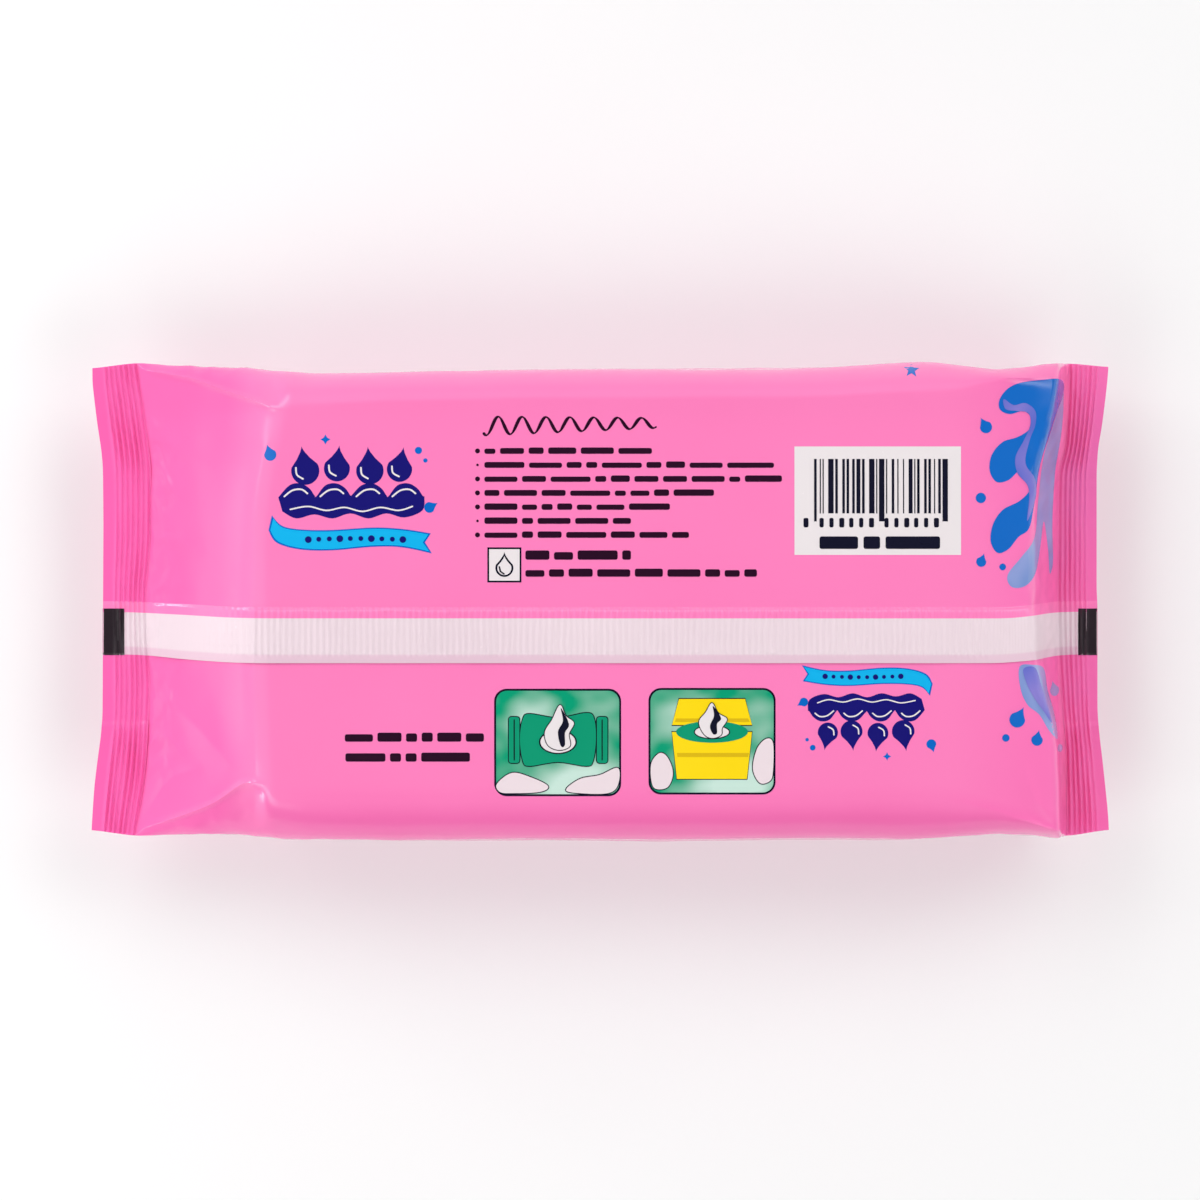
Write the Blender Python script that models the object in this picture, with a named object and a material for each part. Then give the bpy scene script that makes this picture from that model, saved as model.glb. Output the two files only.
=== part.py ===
"""A sealed pack of wet wipes, lying on its front with the back panel up.

One web of film is wrapped round a stack of folded wipes.  Its two long edges
are welded face to face into a fin that is folded down flat along the back, and
both ends are crimped flat, with the side walls tucked inwards as gussets.  The
filled and sealed pack is one solid.  A peelable label is glued to the front,
which is the side that the pack lies on.

Metres, +Z up, +X along the pack, origin at the middle of the footprint.
"""

import math

import bmesh
import bpy

MM = 0.001

# ---- driving dimensions ---------------------------------------------------
LENGTH = 240.0 * MM  # over the cut edges of the two end seals, at their corners
HEIGHT = 47.4 * MM  # front film to back film, beside the fin
MID_Z = 23.7 * MM  # height of the end seals
CROWN = 0.9 * MM  # how far the back panel swells along its middle

STACK_LEFT = -79.5 * MM  # where the back panel starts to slope to the left seal
STACK_RIGHT = 101.5 * MM  # and to the right seal, which sits close to the stack
END_ROUND_LEFT = 7.0 * MM  # rounding of the panel over the end of the stack
END_ROUND_RIGHT = 4.5 * MM
CORNER_RADIUS = 8.0 * MM  # long edges of the filled part
SIDE_BULGE = 0.5 * MM
SIDE_DENT = 2.2 * MM  # the gusset's crease runs on into the side wall
SIDE_DENT_REACH = 14.0 * MM

SEAL_HALF = 0.5 * MM  # half the thickness of a crimped end seal
SEAL_MARGIN = 2.8 * MM  # smooth strip outside the crimp
SEAL_ROOT = 109.3 * MM  # distance of the crimp's inner end from the middle
CRIMP_RIDGES = 6
CRIMP_DEPTH = 0.30 * MM
SEAL_HOLLOW = 2.7 * MM  # how far the middle of each seal is drawn in
HOLLOW_FLAT = 30.0 * MM  # half the length of the drawn-in stretch
HOLLOW_END = 54.0 * MM

TUCK_DEPTH = 23.7 * MM  # gusset depth at the seals: half the side wall
TUCK_GAP = 0.12 * MM  # half the slit left between the gusset's two leaves

FIN_ROOT = -1.5 * MM  # where the fin leaves the back panel
FIN_WIDTH = 13.1 * MM
FIN_THICK = 0.40 * MM
FIN_GAP = 0.30 * MM
FIN_SHIFT = 1.4 * MM  # the fin runs this much nearer the middle over the seals

LABEL_LENGTH = 96.0 * MM
LABEL_WIDTH = 60.0 * MM
LABEL_THICK = 0.40 * MM
LABEL_CORNER = 9.0 * MM
TAB_LENGTH = 13.0 * MM
TAB_WIDTH = 24.0 * MM
TAB_CORNER = 6.0 * MM
RECESS = 0.75 * MM  # the film is pressed in this far under the label
RECESS_CLEAR = 0.6 * MM

# Half width of the pack, as (distance along the pack, half width), in mm.
WIDTH_FAR_SIDE = (
    (-120.0, 54.9), (-109.5, 56.2), (-99.0, 55.5), (-91.0, 54.7), (-68.0, 53.5),
    (-30.0, 53.7), (10.0, 54.1), (43.0, 54.3), (77.0, 55.9), (92.0, 54.3),
    (104.0, 55.4), (110.0, 56.2), (120.0, 55.1),
)
WIDTH_NEAR_SIDE = (
    (-120.0, 54.2), (-110.0, 55.6), (-90.0, 54.7), (-71.0, 56.1), (23.0, 56.1),
    (54.0, 55.9), (73.0, 56.2), (94.0, 54.7), (110.0, 55.7), (120.0, 54.1),
)

ARC_POINTS = 5
GUSSET_STEPS = 11
FILM = (0.96, 0.23, 0.53, 1.0)
LABEL_FILM = (0.93, 0.86, 0.90, 1.0)


# ---- helpers --------------------------------------------------------------
def smooth(t):
    t = min(max(t, 0.0), 1.0)
    return t * t * (3.0 - 2.0 * t)


def along(table, x):
    """The table's value at x, eased between its stations."""
    x = x / MM
    if x <= table[0][0]:
        return table[0][1] * MM
    for (x0, v0), (x1, v1) in zip(table, table[1:]):
        if x <= x1:
            return (v0 + (v1 - v0) * smooth((x - x0) / (x1 - x0))) * MM
    return table[-1][1] * MM


def soft_min(a, b, width):
    """The smaller of two heights, rounded over the given width where they meet."""
    h = min(max(0.5 + 0.5 * (b - a) / width, 0.0), 1.0)
    return b + (a - b) * h - width * h * (1.0 - h)


def half_height(x):
    """Half the thickness of the pack at x: full over the stack, then straight down to a seal."""
    full = HEIGHT / 2
    if x < 0:
        slope = (full - SEAL_HALF) / (STACK_LEFT + SEAL_ROOT)
        ramp = SEAL_HALF + slope * (x + SEAL_ROOT)
        return soft_min(full, ramp, END_ROUND_LEFT)
    slope = (full - SEAL_HALF) / (SEAL_ROOT - STACK_RIGHT)
    ramp = SEAL_HALF + slope * (SEAL_ROOT - x)
    return soft_min(full, ramp, END_ROUND_RIGHT * slope / 2)


def draw_in(y):
    """1 along the middle of a seal, falling to 0 at its corners."""
    return 1.0 - min(max((abs(y) - HOLLOW_FLAT) / (HOLLOW_END - HOLLOW_FLAT), 0.0), 1.0)


def rounded_corner(half_width, rise, radius, tip_y, tip_z):
    """The edge of one panel, from its flat to the gusset's inner crease: an arc, then the straight leaf that touches it."""
    cy, cz = half_width - radius, rise - radius
    vy, vz = tip_y - cy, tip_z - cz
    reach = math.hypot(vy, vz)
    last = math.atan2(vz, vy) + math.acos(min(radius / reach, 1.0))
    if last > math.pi / 2:
        last -= 2 * math.pi
    points = []
    for i in range(ARC_POINTS + 1):
        angle = math.pi / 2 + (last - math.pi / 2) * i / ARC_POINTS
        points.append((cy + radius * math.cos(angle), cz + radius * math.sin(angle)))
    y, z = points[-1]
    points.append(((y + tip_y) / 2, (z + tip_z) / 2))
    points.append((tip_y, tip_z))
    return points


def slab_edge(half_width, count):
    """The same number of points on the cut side of a flat seal."""
    return [(half_width, SEAL_HALF * (1.0 - 0.92 * i / (count - 1))) for i in range(count)]


def recess_at(x, y):
    """How far the front film is lifted by the label glued to it."""
    inside_x = (
        -LABEL_LENGTH / 2 - RECESS_CLEAR <= x <= LABEL_LENGTH / 2 + TAB_LENGTH + RECESS_CLEAR
    )
    return RECESS if inside_x and abs(y) <= LABEL_WIDTH / 2 + RECESS_CLEAR + 1e-6 else 0.0


def section(x, in_seal, crimp, centre):
    """One closed ring of (y, z) round the pack at x.  centre is how far the middle is drawn in there, 0 to 1."""
    far, near = along(WIDTH_FAR_SIDE, x), along(WIDTH_NEAR_SIDE, x)
    half = SEAL_HALF if in_seal else half_height(x)
    full = half / (HEIGHT / 2)
    depth = math.sqrt(max(TUCK_DEPTH**2 - half**2, 0.0)) if not in_seal else 0.0
    ends = min(abs(x - STACK_LEFT), abs(x - STACK_RIGHT))
    depth += SIDE_DENT * math.exp(-ends / SIDE_DENT_REACH) * smooth(full) if not in_seal else 0.0
    depth -= SIDE_BULGE * smooth((full - 0.8) / 0.2)
    radius = min(CORNER_RADIUS * full**0.8, 0.62 * half)

    def edge(half_width):
        if in_seal:
            return slab_edge(half_width, ARC_POINTS + 3)
        return rounded_corner(half_width, half, radius, half_width - depth, TUCK_GAP)

    far_edge, near_edge = edge(far), edge(near)
    far_flat, near_flat = far_edge[0][0], near_edge[0][0]
    crown = CROWN * smooth((full - 0.3) / 0.7)

    def back(y):
        flat = far_flat if y > 0 else near_flat
        return half + crown * (1.0 - min(abs(y) / flat, 1.0) ** 2)

    root = FIN_ROOT + FIN_SHIFT * (1.0 - smooth((full - 0.1) / 0.8))
    ring = []
    # back panel, far side
    for fraction in (1.0, 0.8, 0.55, 0.28):
        ring.append((far_flat * fraction, back(far_flat * fraction)))
    ring.append((root, back(root)))
    # fin: up at its root, out along its outer face, round its free edge, back underneath
    ring.append((root - 0.2 * MM, back(root) + FIN_GAP + FIN_THICK))
    for step in (1 / 3, 2 / 3, 1.0):
        y = root - FIN_WIDTH * step
        ring.append((y, back(y) + FIN_GAP + FIN_THICK))
    for step in (1.0, 2 / 3, 1 / 3, 0.055):
        y = root - FIN_WIDTH * step
        ring.append((y, back(y) + FIN_GAP))
    # back panel, under the fin and on to the near side
    for step in (0.055, 1 / 3, 2 / 3, 1.0):
        y = root - FIN_WIDTH * step
        ring.append((y, back(y)))
    for fraction in (0.5, 0.75):
        ring.append((-near_flat * fraction, back(-near_flat * fraction)))
    ring += [(-y, z) for y, z in near_edge]
    # lower leaf of the near gusset, then the front panel
    ring += [(-y, -z) for y, z in reversed(near_edge)]
    lip = LABEL_WIDTH / 2 + RECESS_CLEAR
    for y in (-lip - 0.8 * MM, -lip, -lip / 2, 0.0, lip / 2, lip, lip + 0.8 * MM):
        ring.append((y, recess_at(x, y) - half))
    ring += [(y, -z) for y, z in far_edge]
    ring += [(y, z) for y, z in reversed(far_edge)][:-1]

    points = []
    side = -1.0 if x < 0 else 1.0
    for y, z in ring:
        points.append((x - side * SEAL_HOLLOW * centre * draw_in(y), y, MID_Z + z + crimp))
    return points


def slack(root, stack_end, count):
    """Stations down one end, from the stack to the seal, spaced so that the gusset's leaf turns by the same angle at each."""
    found = []
    for i in range(count):
        wanted = half_height(stack_end) * math.cos(math.pi / 2 * (i / count) ** 0.85)
        low, high = root, stack_end
        for _ in range(40):
            middle = (low + high) / 2
            low, high = (low, middle) if half_height(middle) > wanted else (middle, high)
        found.append((low + high) / 2)
    return found + [root]


def stations():
    """(x, in_seal, crimp, centre) from the left cut edge to the right one."""
    found = []
    pitch = (LENGTH / 2 - SEAL_MARGIN - SEAL_ROOT) / CRIMP_RIDGES
    end = [(LENGTH / 2, 0.0), (LENGTH / 2 - SEAL_MARGIN * 0.5, 0.0)]
    for i in range(2 * CRIMP_RIDGES + 1):
        end.append((LENGTH / 2 - SEAL_MARGIN - pitch * i / 2, CRIMP_DEPTH * (i % 2)))
    for x, crimp in end:
        found.append((-x, True, crimp, 1.0))

    left_root, right_root = -SEAL_ROOT + 0.05 * MM, SEAL_ROOT - 0.05 * MM
    for x in reversed(slack(left_root, STACK_LEFT + 2.0 * MM, GUSSET_STEPS)):
        centre = 1.0 - smooth((x - left_root) / (STACK_LEFT - left_root))
        found.append((x, False, 0.0, centre))
    lip_low = -LABEL_LENGTH / 2 - RECESS_CLEAR
    lip_high = LABEL_LENGTH / 2 + TAB_LENGTH + RECESS_CLEAR
    body = [STACK_LEFT + 5 * MM, STACK_LEFT + 10 * MM, STACK_LEFT + 19 * MM]
    body += [lip_low - 0.8 * MM, lip_low, -32 * MM, -12 * MM, 10 * MM, 30 * MM, 46 * MM]
    body += [lip_high, lip_high + 0.8 * MM, 72 * MM, 82 * MM, 91 * MM, 97 * MM]
    found += [(x, False, 0.0, 0.0) for x in body]
    for x in slack(right_root, STACK_RIGHT - 1.0 * MM, GUSSET_STEPS):
        centre = smooth((x - STACK_RIGHT) / (right_root - STACK_RIGHT))
        found.append((x, False, 0.0, centre))
    for x, crimp in reversed(end):
        found.append((x, True, crimp, 1.0))
    return found


def finish(name, mesh_builder, colour, roughness, sharp_angle):
    mesh = bpy.data.meshes.new(name)
    bm = bmesh.new()
    mesh_builder(bm)
    bmesh.ops.recalc_face_normals(bm, faces=bm.faces[:])
    bm.to_mesh(mesh)
    bm.free()
    mesh.shade_smooth()
    mesh.set_sharp_from_angle(angle=math.radians(sharp_angle))
    material = bpy.data.materials.new(name + "_film")
    material.use_nodes = True
    shader = material.node_tree.nodes["Principled BSDF"]
    shader.inputs["Base Color"].default_value = colour
    shader.inputs["Roughness"].default_value = roughness
    shader.inputs["Metallic"].default_value = 0.0
    mesh.materials.append(material)
    obj = bpy.data.objects.new(name, mesh)
    bpy.context.scene.collection.objects.link(obj)
    return obj


# ---- pieces ---------------------------------------------------------------
def build_pack(bm):
    rings = []
    for x, in_seal, crimp, centre in stations():
        rings.append([bm.verts.new(p) for p in section(x, in_seal, crimp, centre)])
    for first, second in zip(rings, rings[1:]):
        count = len(first)
        for i in range(count):
            j = (i + 1) % count
            bm.faces.new((first[i], first[j], second[j], second[i]))
    bm.faces.new(rings[0])
    bm.faces.new(reversed(rings[-1]))


def rounded_outline():
    """The label's outline: a rounded rectangle with a pull tab at one short end."""
    def arc(cx, cy, radius, start, stop, count=7):
        for i in range(count + 1):
            a = math.radians(start + (stop - start) * i / count)
            yield cx + radius * math.cos(a), cy + radius * math.sin(a)

    length, width, r = LABEL_LENGTH / 2, LABEL_WIDTH / 2, LABEL_CORNER
    tab, t = TAB_WIDTH / 2, TAB_CORNER
    fillet = 3.0 * MM
    points = []
    points += arc(length - r, -width + r, r, -90, 0)
    points += arc(length + fillet, -tab - fillet, fillet, 180, 90, 4)
    points += arc(length + TAB_LENGTH - t, -tab + t, t, -90, 0)
    points += arc(length + TAB_LENGTH - t, tab - t, t, 0, 90)
    points += arc(length + fillet, tab + fillet, fillet, 270, 180, 4)
    points += arc(length - r, width - r, r, 0, 90)
    points += arc(-length + r, width - r, r, 90, 180)
    points += arc(-length + r, -width + r, r, 180, 270)
    return points


def build_label(bm):
    verts = [bm.verts.new((x, y, 0.0)) for x, y in rounded_outline()]
    face = bm.faces.new(verts)
    grown = bmesh.ops.extrude_face_region(bm, geom=[face])
    lifted = [v for v in grown["geom"] if isinstance(v, bmesh.types.BMVert)]
    bmesh.ops.translate(bm, verts=lifted, vec=(0.0, 0.0, LABEL_THICK))


for old in list(bpy.data.objects):
    bpy.data.objects.remove(old, do_unlink=True)

finish("pack", build_pack, FILM, 0.22, 38.0)
finish("reseal_label", build_label, LABEL_FILM, 0.30, 30.0)
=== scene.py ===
"""The looks of a sealed wet wipes pack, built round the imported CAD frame.

Lengths in the shape functions are millimetres in the row frame (+X along the
pack, +Y across it, +Z up out of the back panel); meshes are made in metres.
"""

import math

import bmesh
import bpy
import numpy as np
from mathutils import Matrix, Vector
from mathutils.geometry import tessellate_polygon
from mathutils.bvhtree import BVHTree


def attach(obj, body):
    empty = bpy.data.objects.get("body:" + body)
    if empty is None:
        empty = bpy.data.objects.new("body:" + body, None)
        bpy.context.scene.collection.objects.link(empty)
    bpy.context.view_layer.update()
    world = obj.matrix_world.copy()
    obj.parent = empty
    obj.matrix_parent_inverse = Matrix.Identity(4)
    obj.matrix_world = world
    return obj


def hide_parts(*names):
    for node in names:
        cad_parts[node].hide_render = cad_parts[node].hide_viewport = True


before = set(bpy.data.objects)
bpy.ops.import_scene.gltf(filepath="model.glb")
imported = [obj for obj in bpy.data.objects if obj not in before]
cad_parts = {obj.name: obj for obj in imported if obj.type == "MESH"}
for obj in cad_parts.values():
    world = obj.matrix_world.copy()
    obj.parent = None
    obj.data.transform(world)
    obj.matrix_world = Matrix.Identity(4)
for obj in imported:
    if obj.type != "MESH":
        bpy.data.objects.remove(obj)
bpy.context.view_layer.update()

MM = 0.001
PX = 4.284  # picture's pixels to a millimetre on the back panel
PX_SEAL = 4.233  # and at the height of the end seals


def at(px, py, scale=PX):
    """Where a pixel of the picture lies on the pack, in mm."""
    return (px - 600.5) / scale, (599.5 - py) / scale


# ---------------------------------------------------------------------------
# numbers that vary along or across the pack
# ---------------------------------------------------------------------------
class Curve:
    """A line through points, rounded over a given length."""

    def __init__(self, points, rounding):
        points = sorted(points)
        xs, vs = zip(*points)
        self.grid = np.arange(xs[0] - 15.0, xs[-1] + 15.0, 0.2)
        values = np.interp(self.grid, xs, vs)
        reach = int(3 * rounding / 0.2) + 1
        k = np.exp(-0.5 * (np.arange(-reach, reach + 1) * 0.2 / rounding) ** 2)
        padded = np.pad(values, reach, mode="edge")
        self.values = np.convolve(padded, k / k.sum(), mode="valid")

    def __call__(self, t):
        return np.interp(t, self.grid, self.values)


def smooth(t):
    t = np.clip(t, 0.0, 1.0)
    return t * t * (3.0 - 2.0 * t)


def soft_min(a, b, width):
    h = np.clip(0.5 + 0.5 * (b - a) / width, 0.0, 1.0)
    return b + (a - b) * h - width * h * (1.0 - h)


def lerp(a, b, t):
    return a + (b - a) * t


rng = np.random.RandomState(71)
_angles = rng.uniform(0, 2 * np.pi, 1024)
_gx, _gy = np.cos(_angles), np.sin(_angles)
_shuffle = np.concatenate([rng.permutation(1024)] * 3)


def noise(x, y, seed=0):
    """Smooth gradient noise, about -0.7 to 0.7, one cell to a unit."""
    x, y = np.broadcast_arrays(np.asarray(x, float), np.asarray(y, float))
    xi, yi = np.floor(x).astype(int), np.floor(y).astype(int)
    xf, yf = x - xi, y - yi
    u = xf * xf * xf * (xf * (xf * 6 - 15) + 10)
    v = yf * yf * yf * (yf * (yf * 6 - 15) + 10)

    def corner(i, j):
        k = _shuffle[(_shuffle[(xi + i + seed * 37) % 1024] + yi + j) % 1024]
        return _gx[k] * (xf - i) + _gy[k] * (yf - j)

    return lerp(
        lerp(corner(0, 0), corner(1, 0), u), lerp(corner(0, 1), corner(1, 1), u), v
    )


def crumple(x, y, seed=0):
    """Sharp-ridged noise, as crushed film has: 1 on the ridges, falling to 0."""
    a = 1.0 - np.sqrt(noise(x, y, seed) ** 2 + 0.0009) * 2.2
    b = 1.0 - np.sqrt(noise(x * 1.9 + 7, y * 1.9, seed + 5) ** 2 + 0.0012) * 2.2
    return 0.65 * np.clip(a, 0, 1) + 0.35 * np.clip(b, 0, 1)


def fold(x, y, points, wide_left, wide_right, tip=0.35):
    """A raised fold along a run of (x, y, height), steep within tip of its line and falling away over
    wide_left or wide_right, the sides being those of someone walking along it."""
    best = np.full(np.shape(x), 1e9)
    side = np.ones(np.shape(x))
    height = np.zeros(np.shape(x))
    for (x0, y0, h0), (x1, y1, h1) in zip(points, points[1:]):
        dx, dy = x1 - x0, y1 - y0
        length2 = dx * dx + dy * dy
        t = np.clip(((x - x0) * dx + (y - y0) * dy) / length2, 0.0, 1.0)
        d = np.hypot(x - x0 - t * dx, y - y0 - t * dy)
        near = d < best
        best = np.where(near, d, best)
        side = np.where(near, np.sign(dx * (y - y0) - dy * (x - x0)), side)
        height = np.where(near, lerp(h0, h1, t), height)
    wide = np.where(side > 0, wide_left, wide_right)
    return height * np.exp(-(np.sqrt(best**2 + tip**2) - tip) / wide)


def bump(x, y, cx, cy, long, short, angle, height):
    """A soft oval swelling, its long axis turned by angle degrees from +X."""
    c, s = math.cos(math.radians(angle)), math.sin(math.radians(angle))
    u = ((x - cx) * c + (y - cy) * s) / long
    v = (-(x - cx) * s + (y - cy) * c) / short
    return height * np.exp(-0.5 * (u * u + v * v))


# ---------------------------------------------------------------------------
# the pack's plan: where its lines run, as functions of the distance across it
# ---------------------------------------------------------------------------
CUT_LEFT = Curve(
    [(55, -120.0), (51.4, -120.0), (47.1, -119.5), (41.5, -118.8), (35.8, -117.9),
     (31.5, -117.5), (18.8, -117.4), (-27.3, -117.6), (-32.2, -118.0), (-37.9, -118.8),
     (-43.6, -119.5), (-49.3, -119.9), (-54.2, -120.2)], 1.2,
)
CUT_RIGHT = Curve(
    [(55.2, 120.0), (51.4, 119.7), (47.1, 119.2), (41.5, 118.5), (35.8, 117.5),
     (30.6, 117.2), (2.0, 117.2), (-1.0, 117.4), (-26.6, 117.4), (-32.2, 117.9),
     (-37.9, 118.6), (-43.6, 119.2), (-49.3, 119.8), (-54.2, 120.1)], 1.2,
)
ROOT_LEFT = Curve(
    [(56, -109.5), (47.1, -108.1), (32.2, -106.1), (14.5, -106.2), (8.4, -106.7),
     (2.2, -107.3), (-8.0, -107.2), (-19.5, -106.3), (-34.8, -107.0), (-42.6, -107.6),
     (-51.1, -109.0), (-55, -109.8)], 1.6,
)
ROOT_RIGHT = Curve(
    [(56, 110.7), (45, 110.5), (35.8, 109.9), (30.6, 108.2), (0, 108.0), (-15, 108.4),
     (-24, 109.0), (-34.5, 110.0), (-55, 110.2)], 1.6,
)
END_LEFT = Curve(
    [(56, -77.5), (44.5, -76.6), (40.7, -77.9), (31.9, -79.2), (25, -80.4), (19, -81.0),
     (-2, -81.3), (-15, -80.8), (-41.4, -80.3), (-56, -80.0)], 1.6,
)
END_RIGHT = Curve(
    [(56, 107.3), (50, 106.8), (40, 104.5), (31, 101.9), (18.5, 100.7), (0, 100.9),
     (-12, 101.2), (-24, 104.2), (-33, 106.6), (-56, 107.4)], 2.0,
)
FAR = Curve(
    [(-120.0, 54.8), (-109.5, 56.2), (-99.0, 55.4), (-91.0, 54.7), (-76.9, 54.2),
     (-68.0, 53.4), (-45.0, 53.5), (-20.0, 54.1), (42.0, 54.3), (55.0, 54.7), (66.0, 55.5),
     (77.0, 56.0), (84.0, 55.2), (91.0, 54.3), (98.0, 54.5), (104.0, 55.4), (110.5, 56.1),
     (120.0, 55.1)], 2.0,
)
NEAR = Curve(
    [(-120.0, 54.2), (-110.0, 55.7), (-99.0, 55.2), (-90.0, 54.7), (-80.0, 55.5),
     (-70.0, 56.2), (23.0, 56.1), (54.0, 55.9), (73.0, 56.2), (84.0, 55.4), (94.0, 54.6),
     (101.0, 54.9), (110.0, 55.8), (120.0, 54.1)], 2.0,
)

# how far inside the outline the back panel's edge runs: a crease at both ends, a round shoulder between
EDGE_FAR = Curve(
    [(-120.0, 0.6), (-109.0, 1.2), (-107.0, 1.7), (-100.5, 2.5), (-94.4, 3.3), (-89.8, 4.9), (-82.2, 7.2),
     (-76.0, 9.4), (-70.0, 8.7), (-60.0, 7.8), (-50.0, 7.2), (78.0, 7.2), (84.0, 6.0), (90.0, 3.6), (95.0, 2.4),
     (104.0, 3.3), (108.0, 4.2), (112.0, 2.0), (120.0, 0.6)], 1.2,
)
EDGE_NEAR = Curve(
    [(-120.0, 0.6), (-110.0, 1.2), (-107.0, 2.2), (-101.3, 3.7), (-93.6, 6.0), (-89.8, 7.7), (-86.8, 10.0),
     (-83.7, 12.7), (-81.0, 12.9), (-78.0, 12.4), (-70.0, 11.2), (-60.0, 10.4), (72.0, 10.4), (79.0, 10.2),
     (90.0, 6.4), (97.0, 3.9), (104.5, 2.0), (110.0, 1.4), (120.0, 0.6)], 1.2,
)
# the sharp bead that stands along the panel's edge where the film is creased: height along the pack
BEAD_FAR = Curve(
    [(-108.0, 0.0), (-105.0, 0.40), (-96.0, 0.48), (-90.0, 0.62), (-80.0, 0.62), (-76.5, 0.36), (-74.0, 0.0),
     (92.0, 0.0), (96.0, 0.45), (106.0, 0.50), (110.0, 0.0)], 0.8,
)
BEAD_NEAR = Curve(
    [(-105.5, 0.0), (-101.5, 0.44), (-92.0, 0.58), (-84.0, 0.64), (-81.0, 0.52), (-79.5, 0.0),
     (96.0, 0.0), (101.0, 0.22), (107.0, 0.25), (110.0, 0.0)], 0.7,
)
BEAD_REACH = 0.62

MID = 23.7  # height of the end seals
FULL = 23.7  # half the height over the stack
SEAL = 0.30  # half the thickness of an end seal
CROWN = 1.3
DROOP = 5.5  # degrees by which the back panel already falls where the near shoulder begins
ROLL = 24.0  # length over which it falls towards the right end, and how far
ROLL_DROP = 4.2
TUCK = 23.7
SLIT = 0.12

MARGIN = 2.6  # smooth strip outside the crimp
RIDGES = {0: 7, 4: 6}
CRIMP = 0.27

FIN_ROOT = -1.5
FIN_WIDE = 13.1
FIN_PINK = 2.6  # printed part of the fin
FIN_LIFT = 0.55


def rise_left(x, y):
    """0 at the left seal, 1 where the stack begins, and on past 1 over the stack."""
    return (x - ROOT_LEFT(y)) / (END_LEFT(y) - ROOT_LEFT(y))


def rise_right(x, y):
    return (ROOT_RIGHT(y) - x) / (ROOT_RIGHT(y) - END_RIGHT(y))


def ramp_left(t):
    return soft_min(0.90 * t + 0.10 * smooth(t) * np.minimum(t, 1.0), 1.0, 0.15)


def ramp_right(t):
    low = 0.80 * t + 0.20 * smooth(t)
    return soft_min(np.where(t > 1, 1 + 0.80 * (t - 1), low), 1.0, 0.16)


def fullness(x, y):
    """Share of the full height at a point: 1 over the stack, 0 in the seals."""
    left = ramp_left(np.clip(rise_left(x, y), 0, 4))
    right = ramp_right(np.clip(rise_right(x, y), 0, 8))
    past = np.clip((x - END_RIGHT(y) + ROLL) / ROLL, 0.0, 1.3)
    return np.minimum(left, right) * (1 - ROLL_DROP / FULL * past**2.2)


def plan(zone, t, y):
    """x of a station: zone 0 left seal, 1 left slack, 2 stack, 3 right slack, 4 right seal."""
    lines = (CUT_LEFT, ROOT_LEFT, END_LEFT, END_RIGHT, ROOT_RIGHT, CUT_RIGHT)
    return lerp(lines[zone](y), lines[zone + 1](y), t)


# ---------------------------------------------------------------------------
# relief of the back panel: folds, dents and slack, all as heights in mm
# ---------------------------------------------------------------------------
def px_fold(points, scale=PX):
    return [(*at(px, py, scale), h) for px, py, h in points]


LEFT_FOLDS = (
    # (run, reach on the walker's left, reach on the right, tip)
    # the stack's top edge at the left end
    (px_fold([(270, 432, 0.05), (266, 446, 0.22), (258, 478, 0.24), (254, 520, 0.20), (254, 575, 0.20),
              (251, 606, 0.18), (253, 660, 0.22), (255, 700, 0.22), (256, 760, 0.20), (257, 776, 0.05)]),
     1.0, 1.6, 0.35),
    # long soft fold from the stack's lower corner to the middle of the seal
    (px_fold([(246, 782, 0.1), (226, 760, 0.55), (205, 738, 0.9), (183, 716, 1.0), (165, 700, 0.6), (152, 688, 0.1)]),
     3.2, 2.0, 0.7),
    # fold nearer the lower corner
    (px_fold([(200, 768, 0.05), (186, 771, 0.35), (170, 776, 0.45), (158, 788, 0.55), (150, 801, 0.5), (141, 816, 0.2)]),
     1.4, 1.0, 0.25),
    # small pleats that start at the crimp
    (px_fold([(151, 462, 0.30), (163, 478, 0.45), (172, 490, 0.30), (181, 507, 0.05)]), 1.6, 1.2, 0.3),
    (px_fold([(150, 536, 0.25), (165, 536, 0.40), (178, 537, 0.30), (192, 545, 0.05)]), 1.2, 1.2, 0.25),
    (px_fold([(151, 498, 0.20), (160, 510, 0.30), (168, 528, 0.05)]), 1.0, 1.0, 0.25),
    (px_fold([(150, 742, 0.20), (163, 735, 0.45), (176, 753, 0.35), (186, 764, 0.05)]), 1.3, 1.3, 0.3),
    (px_fold([(150, 420, 0.10), (170, 440, 0.35), (195, 458, 0.35), (222, 478, 0.05)]), 3.0, 3.0, 0.8),
    (px_fold([(152, 590, 0.15), (172, 584, 0.35), (196, 588, 0.05)]), 1.8, 1.8, 0.5),
)
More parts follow.
